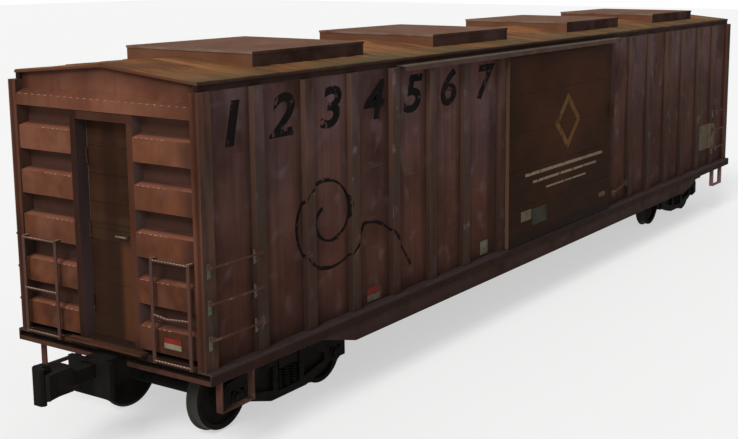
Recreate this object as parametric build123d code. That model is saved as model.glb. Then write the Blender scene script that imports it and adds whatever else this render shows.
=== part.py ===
from build123d import *
import os

# Railroad boxcar with outside posts, recessed end doors and four roof hatches.
# Millimetres. X runs along the car, Y across it, Z up. The origin is midway between the ends and the sides,
# at the bottom of the wheel flanges.

# Clearances
seat_clearance = 0.3
running_clearance = 5.0

# Wheels and axles
tread_radius = 419.0
flange_height = 26.0
flange_tip_width = 14.0
flange_root_width = 35.0
wheel_width = 140.0
wheel_back_gauge = 1360.0
rim_depth = 62.0
dish_depth = 48.0
hub_radius = 150.0
axle_radius = 90.0
bearing_radius = 100.0
bearing_cap_radius = 68.0
bearing_cap_length = 32.0

# Trucks: heights are above or below the axle's centre
truck_overhang = 1825.0
wheelbase = 1830.0
frame_gap = 100.0
frame_width = 130.0
frame_top_rise = 335.0
frame_bottom_drop = 235.0
frame_end_rise = 205.0
frame_end_overhang = 105.0
frame_shoulder = 330.0
jaw_leg_drop = 65.0
lower_chord_depth = 90.0
window_web = 20.0
upper_chord_depth = 70.0
column_width = 85.0
spring_radius = 58.0
spring_gap = 20.0
spring_height = 260.0
bolster_half_width = 170.0
bolster_end_depth = 130.0
bolster_middle_depth = 220.0
centre_plate_radius = 160.0
centre_plate_height = 25.0
brake_beam_size = 60.0
brake_beam_drop = 145.0
brake_shoe_width = 80.0
brake_shoe_thickness = 46.0
brake_shoe_gap = 8.0
brake_shoe_height = 380.0

# Underframe
floor_thickness = 40.0
centre_sill_depth = 300.0
centre_sill_half_width = 166.0
centre_sill_wall = 16.0
centre_sill_foot = 48.0
centre_sill_setback = 205.0
sill_overhang = 73.0
sill_plate = 20.0
sill_depth = 135.0
fishbelly_depth = 335.0
fishbelly_setback = 15.0
fishbelly_inset = 1865.0
fishbelly_taper_length = 700.0
fishbelly_flange_width = 110.0
bolster_beam_half_width = 150.0
bolster_beam_outer_depth = 140.0
bearer_half_width = 45.0
bearer_inner_depth = 270.0
bearer_outer_depth = 110.0
first_bearer_x = 1000.0
bearer_pitch = 1700.0
bearer_count = 3
end_sill_plate = 25.0
end_flange_height = 50.0
end_groove_height = 60.0
end_groove_depth = 60.0
end_sill_rise = 50.0
end_notch_half_width = 270.0

# Couplers and their pockets
coupler_drop = 100.0
coupler_reach = 980.0
shank_width = 160.0
shank_height = 150.0
head_height = 270.0
head_rise = 25.0
head_length = 370.0
head_half_width = 140.0
guard_arm_length = 150.0
guard_arm_flare = 30.0
guard_arm_thickness = 60.0
jaw_depth = 175.0
knuckle_height = 400.0
knuckle_half_width = 152.0
knuckle_nose_width = 85.0
knuckle_nose_depth = 72.0
knuckle_round = 12.0
striker_reach = 305.0
striker_plate = 60.0
striker_half_width = 325.0
striker_rise = 120.0
striker_drop = 290.0

# Side walls and posts
body_length = 16490.0
wall_inner_y = 1335.0
wall_thickness = 60.0
wall_height = 2950.0
post_depth = 60.0
post_foot_width = 200.0
post_face_width = 160.0
door_bay_width = 940.0
corner_bay_width = 745.0
posts_per_section = 6
corner_post_length = 190.0

# Side doors and their tracks
doorway_half_width = 1785.0
doorway_lap = 35.0
door_thickness = 60.0
door_foot_gap = 10.0
door_head_gap = 65.0
door_boards = 5
door_seam_width = 18.0
door_seam_depth = 6.0
door_travel = 2750.0
lintel_depth = 130.0
track_plate = 12.0
track_rise = 20.0
track_lip_gap = 13.0
track_overrun = 330.0
track_gap = 16.0
hanger_inset = 550.0
hanger_width = 260.0
shoe_length = 240.0
latch_length = 135.0
latch_height = 250.0
latch_rise = 1600.0
latch_depth = 75.0

# Roof
roof_end_setback = 55.0
roof_overhang = 13.0
eave_rise = 97.0
ridge_rise = 128.0
roof_thickness = 25.0
eave_chord_setback = 10.0
hatch_length = 2140.0
hatch_half_width = 1000.0
hatch_rise = 95.0
hatch_lid_thickness = 28.0
hatch_lid_lap = 8.0
hatch_end_gap = 1240.0
hatch_inner_offset = 2103.0
hatch_shift = 76.0

# End walls
end_recess = 165.0
end_wall_thickness = 50.0
end_rib_setback = 20.0
end_rib_count = 5
end_rib_top_gap = 370.0
end_rib_bottom_gap = 186.0
end_rib_face_height = 265.0
end_rib_slope = 30.0
end_beam_drop = 280.0
end_beam_face_height = 130.0
end_beam_slope = 40.0
end_beam_setback = 5.0
gable_setback = 105.0
gable_thickness = 50.0

# End doors
end_doorway_half_width = 400.0
end_frame_width = 80.0
end_frame_setback = 15.0
end_threshold = 30.0
end_header = 100.0
end_door_thickness = 40.0
end_door_inset = 5.0
end_door_boards = 4
hinge_radius = 11.0
hinge_length = 130.0
hinge_lug_length = 45.0
hinge_edge_gap = 340.0
hinge_count = 3
handle_length = 165.0
handle_rise = 1200.0
handle_inset = 56.0
handle_reach = 55.0
handle_radius = 11.0

# Ladders, grab irons and steps
ladder_reach = 55.0
ladder_frame_gap = 275.0
ladder_post_gap = 45.0
ladder_foot = 45.0
ladder_head_lap = 30.0
ladder_end_gap = 25.0
ladder_middle_rise = 514.0
rung_sag = 25.0
rung_sag_share = 0.38
stile_width = 44.0
stile_thickness = 14.0
rung_radius = 13.0
grab_reach = 75.0
grab_first_rise = 356.0
grab_pitch = 390.0
grab_count = 3
grab_foot = 50.0
corner_grab_length = 815.0
corner_grab_inset = 55.0
bay_grab_length = 500.0
bay_grab_inset = 495.0
step_length = 525.0
step_drop = 345.0
step_strap_width = 85.0
step_strap_thickness = 18.0
corner_step_inset = 145.0
bay_step_inset = 445.0

# Air brake gear
reservoir_radius = 180.0
reservoir_length = 1100.0
reservoir_x = -50.0
cylinder_radius = 130.0
cylinder_length = 620.0
cylinder_x = 1750.0
brake_gear_y = 780.0
brake_gear_drop = 210.0
tank_chamfer = 35.0
strap_width = 60.0

# Heights above the bottom of the wheel flanges
axle_height = tread_radius + flange_height
pedestal_roof = axle_height + bearing_radius + seat_clearance
frame_top = axle_height + frame_top_rise
frame_bottom = axle_height - frame_bottom_drop
frame_end_top = axle_height + frame_end_rise
jaw_leg_bottom = axle_height - jaw_leg_drop
brake_beam_z = axle_height - brake_beam_drop
spring_seat = frame_bottom + lower_chord_depth
bolster_end_bottom = spring_seat + spring_height
bolster_top = bolster_end_bottom + bolster_end_depth
centre_plate_top = bolster_top + centre_plate_height
centre_sill_bottom = centre_plate_top + centre_plate_height
floor_bottom = centre_sill_bottom + centre_sill_depth
sill_top = floor_bottom + floor_thickness
coupler_z = floor_bottom - coupler_drop
end_sill_bottom = sill_top - sill_depth
end_sill_top = sill_top + end_sill_rise
door_bottom = sill_top + door_foot_gap
wall_top = sill_top + wall_height
door_top = wall_top - door_head_gap
lintel_bottom = wall_top - lintel_depth
track_bottom = door_top + track_lip_gap
track_top = wall_top + track_rise
end_beam_bottom = wall_top - end_beam_drop
end_beam_face_top = end_beam_bottom + end_beam_face_height
end_beam_top = end_beam_face_top + end_beam_slope
end_threshold_z = end_sill_top + end_threshold
end_header_z = end_beam_bottom - end_header
eave_z = wall_top + eave_rise
ridge_z = eave_z + ridge_rise
hatch_top = ridge_z + hatch_rise
end_rib_top_z = end_beam_bottom - end_rib_top_gap
end_rib_bottom_z = end_sill_top + end_rib_bottom_gap
end_rib_pitch = (end_rib_top_z - end_rib_bottom_z) / (end_rib_count - 1)
ladder_bottom = end_sill_top - ladder_foot
ladder_top = end_rib_top_z - 2 * end_rib_pitch - end_rib_face_height / 2 + ladder_head_lap

# Places along the car
body_end = body_length / 2
roof_end = body_end - roof_end_setback
wall_end = body_end - corner_post_length
truck_x = body_end - truck_overhang
axle_offset = wheelbase / 2
draft_end = body_end - centre_sill_setback
striker_x = body_end + striker_reach
coupler_tip = body_end + coupler_reach
recess_x = body_end - end_recess
end_inner_x = recess_x - end_wall_thickness
door_half_width = doorway_half_width + doorway_lap
first_post_x = doorway_half_width + post_foot_width + door_bay_width
last_post_x = wall_end - corner_bay_width
post_pitch = (last_post_x - first_post_x) / (posts_per_section - 1)
hatch_outer_offset = roof_end - hatch_end_gap - hatch_length / 2

# Places across the car
wheel_back_y = wheel_back_gauge / 2
wheel_front_y = wheel_back_y + wheel_width
frame_inner_y = wheel_front_y + frame_gap
frame_outer_y = frame_inner_y + frame_width
spring_pitch = 2 * spring_radius + spring_gap
wall_outer_y = wall_inner_y + wall_thickness
post_face_y = wall_outer_y + post_depth
sill_face_y = post_face_y + sill_overhang
sill_web_y = sill_face_y - sill_plate
roof_half_width = wall_outer_y + roof_overhang
chord_outer_y = roof_half_width - eave_chord_setback
door_inner_y = post_face_y + running_clearance
door_outer_y = door_inner_y + door_thickness
track_lip_y = door_outer_y + track_gap
end_frame_outer_y = end_doorway_half_width + end_frame_width
ladder_inner_y = end_frame_outer_y + ladder_frame_gap
ladder_outer_y = wall_inner_y - ladder_post_gap


def block(x0, x1, y0, y1, z0, z1):
    middle = Pos((x0 + x1) / 2, (y0 + y1) / 2, (z0 + z1) / 2)
    return middle * Box(x1 - x0, y1 - y0, z1 - z0)


def prism_x(points, x0, x1):
    """Extrude an outline of (y, z) points from x0 to x1."""
    face = make_face(Polyline(*points, close=True))
    return extrude(Plane.YZ.offset(x0) * face, amount=x1 - x0)


def prism_y(points, y0, y1):
    """Extrude an outline of (x, z) points from y0 to y1."""
    face = make_face(Polyline(*points, close=True))
    return extrude(Plane.XZ.offset(-y1) * face, amount=y1 - y0)


def prism_z(points, z0, z1):
    """Extrude an outline of (x, y) points from z0 to z1."""
    face = make_face(Polyline(*points, close=True))
    return extrude(Plane.XY.offset(z0) * face, amount=z1 - z0)


def rod_x(x0, x1, y, z, radius):
    return Pos((x0 + x1) / 2, y, z) * Rot(0, 90, 0) * Cylinder(radius, x1 - x0)


def rod_y(x, y0, y1, z, radius):
    return Pos(x, (y0 + y1) / 2, z) * Rot(90, 0, 0) * Cylinder(radius, y1 - y0)


def rod_z(x, y, z0, z1, radius):
    return Pos(x, y, (z0 + z1) / 2) * Cylinder(radius, z1 - z0)


def turned(shape):
    """The same piece at the other end and side of the car."""
    return Rot(0, 0, 180) * shape


def across(shape):
    """The same piece mirrored to the other side of the car."""
    return mirror(shape, about=Plane.XZ)


def along(shape):
    """The same piece mirrored to the other end of the car."""
    return mirror(shape, about=Plane.YZ)


def roof_top(y):
    return eave_z + ridge_rise * (1 - abs(y) / roof_half_width)


def roof_under(y):
    return roof_top(y) - roof_thickness


def wheel_profile():
    """Half section of a wheel as (radius, y) points, outward from the flange's back."""
    flange_radius = tread_radius + flange_height
    rim_inner = tread_radius - rim_depth
    bore = axle_radius + seat_clearance
    return [
        (bore, wheel_back_y),
        (flange_radius, wheel_back_y),
        (flange_radius, wheel_back_y + flange_tip_width),
        (tread_radius, wheel_back_y + flange_root_width),
        (tread_radius, wheel_front_y),
        (rim_inner, wheel_front_y),
        (rim_inner, wheel_front_y - dish_depth),
        (hub_radius, wheel_front_y - dish_depth),
        (hub_radius, wheel_front_y),
        (bore, wheel_front_y),
    ]


def wheel_pair(x):
    wheel = revolve(make_face(Polyline(*wheel_profile(), close=True)), Axis.Y)
    wheel = Pos(x, 0, axle_height) * wheel
    return [wheel, across(wheel)]


def axle(x):
    """Plain axle with a bearing and an end cap at each end."""
    bearing_start = frame_inner_y - running_clearance
    bearing_end = frame_outer_y + running_clearance
    cap_end = bearing_end + bearing_cap_length
    shaft = rod_y(x, -bearing_start, bearing_start, axle_height, axle_radius)
    bearing = rod_y(x, bearing_start, bearing_end, axle_height, bearing_radius)
    cap = rod_y(x, bearing_end, cap_end, axle_height, bearing_cap_radius)
    for piece in (bearing, cap):
        shaft += piece
        shaft += across(piece)
    return shaft


def side_frame():
    """Cast side frame of the -Y side: pedestal jaws, bolster opening and two webbed windows."""
    jaw_half = bearing_radius + running_clearance
    jaw_in = axle_offset - jaw_half
    jaw_out = axle_offset + jaw_half
    frame_end = jaw_out + frame_end_overhang
    leg_in = jaw_in - frame_end_overhang
    half = [
        (0, frame_top),
        (frame_shoulder, frame_top),
        (leg_in, (frame_top + frame_end_top) / 2),
        (frame_end - frame_end_overhang / 2, frame_end_top),
        (frame_end, frame_end_top - frame_end_overhang / 2),
        (frame_end, jaw_leg_bottom),
        (jaw_out, jaw_leg_bottom),
        (jaw_out, pedestal_roof),
        (jaw_in, pedestal_roof),
        (jaw_in, jaw_leg_bottom),
        (leg_in, jaw_leg_bottom - frame_end_overhang / 2),
        (frame_shoulder, frame_bottom),
        (0, frame_bottom),
    ]
    outline = half + [(-x, z) for x, z in reversed(half[1:-1])]
    frame = prism_y(outline, -frame_outer_y, -frame_inner_y)
    opening_half = 1.5 * spring_pitch
    opening_top = frame_top - upper_chord_depth
    column = opening_half + column_width
    opening = [
        (-opening_half, spring_seat),
        (opening_half, spring_seat),
        (opening_half, opening_top),
        (-opening_half, opening_top),
    ]
    window = [
        (column, spring_seat + lower_chord_depth / 3),
        (leg_in, jaw_leg_bottom + lower_chord_depth / 2),
        (leg_in, pedestal_roof - lower_chord_depth / 4),
        (column, opening_top - upper_chord_depth),
    ]
    frame -= prism_y(opening, -frame_outer_y, -frame_inner_y)
    pocket = (frame_width - window_web) / 2
    for cut in (window, [(-x, z) for x, z in window]):
        frame -= prism_y(cut, -frame_outer_y, -frame_outer_y + pocket)
        frame -= prism_y(cut, -frame_inner_y - pocket, -frame_inner_y)
    return frame


def side_frames(x):
    frame = Pos(x, 0, 0) * side_frame()
    return [frame, across(frame)]


def truck_bolster(x):
    """Cross beam on the springs, deeper in the middle, with the truck's centre plate on top."""
    end_y = frame_outer_y - running_clearance
    knee_y = frame_inner_y - running_clearance
    middle_bottom = bolster_top - bolster_middle_depth
    half = [
        (0, middle_bottom),
        (knee_y / 2, middle_bottom),
        (knee_y, bolster_end_bottom),
        (end_y, bolster_end_bottom),
        (end_y, bolster_top),
        (0, bolster_top),
    ]
    outline = half + [(-y, z) for y, z in reversed(half[1:-1])]
    beam = prism_x(outline, x - bolster_half_width, x + bolster_half_width)
    return beam + rod_z(x, 0, bolster_top, centre_plate_top, centre_plate_radius)


def coil_spring(x, y):
    return rod_z(x, y, spring_seat, bolster_end_bottom, spring_radius)


def truck_springs(x):
    middle_y = frame_inner_y + frame_width / 2
    return [coil_spring(x + step * spring_pitch, side * middle_y) for side in (-1, 1) for step in (-1, 0, 1)]


def brake_beam(x, side):
    """One beam and its two shoes, on the inner side of the wheels at x + side * axle_offset."""
    half = brake_beam_size / 2
    inner = tread_radius + brake_shoe_gap
    outer = inner + brake_shoe_thickness
    beam_reach = (outer**2 - brake_beam_drop**2) ** 0.5
    beam_x = side * (axle_offset - beam_reach - half / 3)
    beam = block(
        beam_x - half, beam_x + half, -frame_inner_y, frame_inner_y, brake_beam_z - half, brake_beam_z + half
    )
    ring = Circle(outer) - Circle(inner)
    reach = outer / 2
    shoe_face = ring & (Pos(-side * outer, -brake_beam_drop / 2) * Rectangle(2 * reach, brake_shoe_height))
    shoe_y = wheel_back_y + flange_root_width + running_clearance
    shoe = extrude(Plane.XZ.offset(-shoe_y - brake_shoe_width) * shoe_face, amount=brake_shoe_width)
    shoe = Pos(side * axle_offset, 0, axle_height) * shoe
    return Pos(x, 0, 0) * (beam + shoe + across(shoe))


def brake_beams(x):
    return [brake_beam(x, -1), brake_beam(x, 1)]


def floor_deck():
    length = body_end - end_groove_depth - end_sill_plate
    return block(-length, length, -wall_inner_y, wall_inner_y, floor_bottom, sill_top)


def centre_sill():
    """Two webs under one cover plate, open below, with flanges turned in at the foot."""
    outer = centre_sill_half_width
    inner = outer - centre_sill_wall
    half = [
        (0, floor_bottom),
        (outer, floor_bottom),
        (outer, centre_sill_bottom),
        (outer - centre_sill_foot, centre_sill_bottom),
        (outer - centre_sill_foot, centre_sill_bottom + centre_sill_wall),
        (inner, centre_sill_bottom + centre_sill_wall),
        (inner, floor_bottom - centre_sill_wall),
        (0, floor_bottom - centre_sill_wall),
    ]
    outline = half + [(-y, z) for y, z in reversed(half[1:-1])]
    return prism_x(outline, -draft_end, draft_end)


def tapered_bearer(x, half_width, inner_depth, outer_depth):
    """A cross member of the +Y side, from the centre sill out to the side sill's web."""
    points = [
        (centre_sill_half_width, floor_bottom - inner_depth),
        (centre_sill_half_width, floor_bottom),
        (sill_web_y - fishbelly_setback, floor_bottom),
        (sill_web_y - fishbelly_setback, floor_bottom - outer_depth),
    ]
    return prism_x(points, x - half_width, x + half_width)


def body_bolsters():
    pieces = []
    for x in (-truck_x, truck_x):
        arm = tapered_bearer(x, bolster_beam_half_width, centre_sill_depth, bolster_beam_outer_depth)
        plate = rod_z(x, 0, centre_plate_top + seat_clearance, centre_sill_bottom, centre_plate_radius)
        pieces += [arm, across(arm), plate]
    return pieces


def cross_bearers():
    pieces = []
    for index in range(bearer_count):
        station = first_bearer_x + index * bearer_pitch
        for x in (-station, station):
            arm = tapered_bearer(x, bearer_half_width, bearer_inner_depth, bearer_outer_depth)
            pieces += [arm, across(arm)]
    return pieces


def side_sill():
    """Sill of the -Y side: ledge, shallow web with a fishbelly plate below it, and its foot flange."""
    ledge = block(-body_end, body_end, -sill_face_y, -wall_inner_y, sill_top - sill_plate, sill_top)
    web = block(-body_end, body_end, -sill_face_y, -sill_web_y, sill_top - sill_depth, sill_top)
    belly_bottom = sill_top - fishbelly_depth
    taper = body_end - fishbelly_inset
    flat = taper - fishbelly_taper_length
    belly_outer = sill_face_y - fishbelly_setback
    belly_inner = belly_outer - sill_plate
    belly = prism_y(
        [
            (-taper, sill_top - sill_depth),
            (-flat, belly_bottom),
            (flat, belly_bottom),
            (taper, sill_top - sill_depth),
            (taper, sill_top - sill_plate),
            (-taper, sill_top - sill_plate),
        ],
        -belly_outer,
        -belly_inner,
    )
    flange_inner = -belly_outer + fishbelly_flange_width
    flange = block(-flat, flat, -belly_outer, flange_inner, belly_bottom, belly_bottom + sill_plate)
    return ledge + web + belly + flange


def end_sill():
    """Sill of the -X end: a plate grooved along its front, a top plate and the draft pocket's cut-out."""
    front = -body_end
    back = front + end_sill_plate
    web = front + end_groove_depth
    web_back = web + end_sill_plate
    flange_top = end_sill_bottom + end_flange_height
    groove_top = flange_top + end_groove_height
    foot = [
        (web_back, flange_top - end_sill_plate),
        (back, flange_top - end_sill_plate),
        (back, end_sill_bottom),
        (front, end_sill_bottom),
        (front, flange_top),
        (web, flange_top),
    ]
    middle = foot + [
        (web, groove_top),
        (front, groove_top),
        (front, end_sill_top),
        (-end_inner_x, end_sill_top),
        (-end_inner_x, end_sill_top - end_sill_plate),
        (back, end_sill_top - end_sill_plate),
        (back, groove_top + end_sill_plate),
        (web_back, groove_top + end_sill_plate),
    ]
    corner = foot + [(web, sill_top - sill_plate), (web_back, sill_top - sill_plate)]
    sill = prism_y(middle, -wall_inner_y, wall_inner_y)
    end = prism_y(corner, -sill_web_y, -wall_inner_y)
    gap_top = floor_bottom + running_clearance
    gap_half = centre_sill_half_width + running_clearance
    gap = block(front, web_back, -gap_half, gap_half, end_sill_bottom, gap_top)
    notch = block(front, web, -end_notch_half_width, end_notch_half_width, end_sill_bottom, gap_top)
    return sill + end + across(end) - gap - notch


def draft_pocket():
    """Pocket of the +X end: a sleeve that carries on the centre sill, with the striker plate at its mouth."""
    mouth_half = shank_width / 2 + 6 * running_clearance
    mouth_bottom = coupler_z - shank_height / 2 - seat_clearance
    mouth_top = coupler_z + shank_height / 2 + 2 * running_clearance
    sleeve_half = centre_sill_half_width
    sleeve_end = striker_x - striker_plate
    sleeve = block(draft_end, sleeve_end, -sleeve_half, sleeve_half, centre_sill_bottom, floor_bottom)
    plate_bottom = coupler_z - striker_drop
    plate_top = coupler_z + striker_rise
    plate = block(sleeve_end, striker_x, -striker_half_width, striker_half_width, plate_bottom, plate_top)
    mouth = block(draft_end, striker_x, -mouth_half, mouth_half, mouth_bottom, mouth_top)
    return sleeve + plate - mouth


def coupler():
    """Coupler of the +X end: shank and head with its guard arm on the +Y side."""
    shank_half = shank_width / 2
    head_back = coupler_tip - head_length
    jaw_x = coupler_tip - jaw_depth
    arm_y = head_half_width + guard_arm_flare
    head = [
        (head_back, shank_half),
        (head_back + guard_arm_flare, head_half_width),
        (coupler_tip - guard_arm_length, head_half_width),
        (coupler_tip - guard_arm_flare / 3, arm_y),
        (coupler_tip - guard_arm_flare / 9, arm_y - guard_arm_thickness),
        (jaw_x + guard_arm_flare, shank_half),
        (jaw_x, shank_half / 4),
        (jaw_x, -head_half_width),
        (head_back + guard_arm_flare, -head_half_width),
        (head_back, -shank_half),
    ]
    head_z = coupler_z + head_rise
    body = prism_z(head, head_z - head_height / 2, head_z + head_height / 2)
    shank = block(
        draft_end + 4 * running_clearance, head_back, -shank_half, shank_half, coupler_z - shank_height / 2,
        coupler_z + shank_height / 2,
    )
    return body + shank


def knuckle():
    """Knuckle of the +X end's coupler, closed against the head."""
    back = coupler_tip - jaw_depth + seat_clearance
    nose_back = coupler_tip - knuckle_nose_depth
    outline = [
        (back, 0),
        (back, -head_half_width),
        (nose_back, -knuckle_half_width),
        (coupler_tip - knuckle_nose_depth / 3, knuckle_nose_depth / 3 - head_half_width),
        (coupler_tip, -knuckle_nose_width),
        (coupler_tip, knuckle_nose_width / 3),
        (coupler_tip - knuckle_nose_depth / 2, knuckle_nose_width * 2 / 3),
        (nose_back, knuckle_nose_width / 2),
        (nose_back, -knuckle_nose_width / 4),
        ((nose_back + back) / 2, -knuckle_nose_width / 2),
    ]
    body = prism_z(outline, coupler_z - knuckle_height / 2, coupler_z + knuckle_height / 2)
    return fillet(body.edges().filter_by(Axis.Z), knuckle_round)


def wall_section():
    """Side wall of the -X, -Y quarter, from the corner post to the doorway, with its outside posts."""
    centres = [first_post_x + index * post_pitch for index in range(posts_per_section)]
    centres.insert(0, doorway_half_width + post_foot_width / 2)
    outline = [(-doorway_half_width, -wall_inner_y)]
    for centre in centres:
        outline += [
            (-centre + post_foot_width / 2, -wall_outer_y),
            (-centre + post_face_width / 2, -post_face_y),
            (-centre - post_face_width / 2, -post_face_y),
            (-centre - post_foot_width / 2, -wall_outer_y),
        ]
    outline += [(-wall_end, -wall_outer_y), (-wall_end, -wall_inner_y)]
    return prism_z(outline, sill_top, wall_top)


def corner_posts():
    post = block(-body_end, -wall_end, -post_face_y, -wall_inner_y, sill_top, wall_top)
    pair = [post, across(post)]
    return pair + [along(piece) for piece in pair]


def eave_chord():
    """Chord of the -Y side under the roof's edge, with the lintel of the doorway."""
    points = [
        (-wall_inner_y, wall_top),
        (-chord_outer_y, wall_top),
        (-chord_outer_y, roof_under(chord_outer_y)),
        (-wall_inner_y, roof_under(wall_inner_y)),
    ]
    chord = prism_x(points, -roof_end + eave_chord_setback, roof_end - eave_chord_setback)
    half = doorway_half_width
    lintel = block(-half, half, -wall_outer_y, -wall_inner_y, lintel_bottom, wall_top)
    return chord + lintel


def door_track():
    """Track of the -Y side: a top plate on the chord and a lip that hides the door's hangers."""
    left = -door_half_width - door_travel - track_plate
    right = door_half_width + track_overrun
    points = [
        (-chord_outer_y, track_top),
        (-track_lip_y - track_plate, track_top),
        (-track_lip_y - track_plate, track_bottom),
        (-track_lip_y, track_bottom),
        (-track_lip_y, track_top - track_plate),
        (-chord_outer_y, track_top - track_plate),
    ]
    return prism_x(points, left, right)


def side_door():
    """Sliding door of the -Y side: boards between seams, hangers above, shoes below, latch on its +X edge."""
    door = block(-door_half_width, door_half_width, -door_outer_y, -door_inner_y, door_bottom, door_top)
    board = (door_top - door_bottom) / door_boards
    for index in range(1, door_boards):
        seam_z = door_bottom + index * board
        door -= block(
            -door_half_width, door_half_width, -door_outer_y, -door_outer_y + door_seam_depth,
            seam_z - door_seam_width / 2, seam_z + door_seam_width / 2,
        )
    middle_y = (door_inner_y + door_outer_y) / 2
    quarter = door_thickness / 4
    hanger_top = track_top - track_plate - running_clearance
    for x in (-door_half_width + hanger_inset, door_half_width - hanger_inset):
        left = x - hanger_width / 2
        right = x + hanger_width / 2
        door += block(left, right, -middle_y - quarter, -middle_y + quarter, door_top, hanger_top)
        door += block(
            x - shoe_length / 2, x + shoe_length / 2, -middle_y - quarter, -middle_y + quarter,
            sill_top + seat_clearance, door_bottom,
        )
    latch_back = -door_inner_y - quarter
    latch_bottom = door_bottom + latch_rise
    latch_start = door_half_width - latch_length / 2
    latch_front = latch_back - latch_depth
    latch_top = latch_bottom + latch_height
    door += block(latch_start, latch_start + latch_length, latch_front, latch_back, latch_bottom, latch_top)
    return door


def roof_deck():
    outline = [
        (-roof_half_width, roof_under(roof_half_width)),
        (-roof_half_width, eave_z),
        (0, roof_top(0)),
        (roof_half_width, eave_z),
        (roof_half_width, roof_under(roof_half_width)),
        (0, roof_under(0)),
    ]
    return prism_x(outline, -roof_end, roof_end)


def roof_hatch(x):
    """Raised hatch that straddles the ridge, with a flat lid that laps over its curb."""
    half_length = hatch_length / 2
    curb_half = hatch_half_width - hatch_lid_lap
    curb_length = half_length - hatch_lid_lap
    lid_bottom = hatch_top - hatch_lid_thickness
    outline = [
        (-curb_half, roof_top(curb_half)),
        (-curb_half, lid_bottom),
        (curb_half, lid_bottom),
        (curb_half, roof_top(curb_half)),
        (0, roof_top(0)),
    ]
    curb = prism_x(outline, x - curb_length, x + curb_length)
    lid = block(x - half_length, x + half_length, -hatch_half_width, hatch_half_width, lid_bottom, hatch_top)
    return curb + lid


def roof_hatches():
    offsets = (-hatch_outer_offset, -hatch_inner_offset, hatch_inner_offset, hatch_outer_offset)
    return [roof_hatch(offset + hatch_shift) for offset in offsets]


def end_panel():
    """Ribbed end sheet of the -X end, -Y half: box ribs between the door frame and the corner post."""
    rib_x = -body_end + end_rib_setback
    outline = [(-end_inner_x, end_beam_bottom), (-recess_x, end_beam_bottom)]
    for index in range(end_rib_count):
        middle = end_rib_top_z - index * end_rib_pitch
        half = end_rib_face_height / 2
        outline += [
            (-recess_x, middle + half + end_rib_slope),
            (rib_x, middle + half),
            (rib_x, middle - half),
            (-recess_x, middle - half - end_rib_slope),
        ]
    outline += [(-recess_x, end_sill_top), (-end_inner_x, end_sill_top)]
    return prism_y(outline, -wall_inner_y, -end_frame_outer_y)


def end_wall():
    panel = end_panel()
    return [panel, across(panel)]


def end_beam():
    """Top beam of the -X end with the gable above it."""
    face_x = -body_end + end_beam_setback
    back_x = -end_inner_x
    gable_x = -body_end + gable_setback
    beam = prism_y(
        [
            (back_x, end_beam_bottom),
            (face_x, end_beam_bottom),
            (face_x, end_beam_face_top),
            (gable_x, end_beam_top),
            (back_x, end_beam_top),
        ],
        -wall_inner_y,
        wall_inner_y,
    )
    gable = prism_x(
        [
            (-wall_inner_y, end_beam_bottom),
            (wall_inner_y, end_beam_bottom),
            (wall_inner_y, roof_under(wall_inner_y)),
            (0, roof_under(0)),
            (-wall_inner_y, roof_under(wall_inner_y)),
        ],
        gable_x,
        gable_x + gable_thickness,
    )
    return beam + gable


def hinge_stations():
    """Heights of the foot of each hinge knuckle, evenly spaced up the door."""
    low = end_threshold_z + hinge_edge_gap
    high = end_header_z - hinge_edge_gap - hinge_length
    step = (high - low) / (hinge_count - 1)
    return [low + index * step for index in range(hinge_count)]


def hinge_place():
    """Hinge axis of the -X end's door as (x, y)."""
    door_face_x = -end_inner_x - end_door_inset - end_door_thickness
    axis_x = door_face_x - hinge_radius - running_clearance / 2
    axis_y = end_doorway_half_width - hinge_radius - running_clearance / 2
    return axis_x, axis_y


def end_door_frame():
    """Frame of the -X end's doorway, with the hinge lugs on its +Y post."""
    front = -body_end + end_frame_setback
    back = -end_inner_x
    frame = block(front, back, -end_frame_outer_y, end_frame_outer_y, end_sill_top, end_beam_bottom)
    frame -= block(
        front, back, -end_doorway_half_width, end_doorway_half_width, end_threshold_z, end_header_z
    )
    axis_x, axis_y = hinge_place()
    for station in hinge_stations():
        lug_top = station - seat_clearance
        frame += rod_z(axis_x, axis_y, lug_top - hinge_lug_length, lug_top, hinge_radius)
        frame += block(
            axis_x - hinge_radius, axis_x, axis_y, end_doorway_half_width, lug_top - hinge_lug_length, lug_top
        )
    return frame


def end_door():
    """Hinged door of the -X end: boards between seams, hinge knuckles on its +Y edge and a bow handle."""
    back = -end_inner_x - end_door_inset
    face = back - end_door_thickness
    half = end_doorway_half_width - running_clearance
    bottom = end_threshold_z + running_clearance
    top = end_header_z - running_clearance
    door = block(face, back, -half, half, bottom, top)
    board = (top - bottom) / end_door_boards
    for index in range(1, end_door_boards):
        seam_z = bottom + index * board
        seam_low = seam_z - door_seam_width / 2
        door -= block(face, face + door_seam_depth, -half, half, seam_low, seam_low + door_seam_width)
    axis_x, axis_y = hinge_place()
    for station in hinge_stations():
        top = station + hinge_length
        door += rod_z(axis_x, axis_y, station, top, hinge_radius)
        door += block(axis_x, face + door_seam_depth, axis_y - hinge_radius, axis_y, station, top)
    inner_y = -handle_inset
    outer_y = inner_y - handle_length
    grip_x = face - handle_reach
    handle_z = end_threshold_z + handle_rise
    door += rod_y(grip_x, outer_y, inner_y, handle_z, handle_radius)
    for y in (inner_y, outer_y + 2 * handle_radius):
        door += block(
            grip_x, face + door_seam_depth, y - 2 * handle_radius, y, handle_z - handle_radius / 2,
            handle_z + handle_radius / 2,
        )
    return door


def bent_rung(x, z):
    """Ladder rung of the -Y half, knocked down near its inner end."""
    bend_y = -ladder_inner_y - rung_sag_share * (ladder_outer_y - ladder_inner_y)
    path = Polyline((x, -ladder_outer_y, z), (x, bend_y, z - rung_sag), (x, -ladder_inner_y, z))
    return sweep((path ^ 0) * Circle(rung_radius), path=path, transition=Transition.RIGHT)


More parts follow.
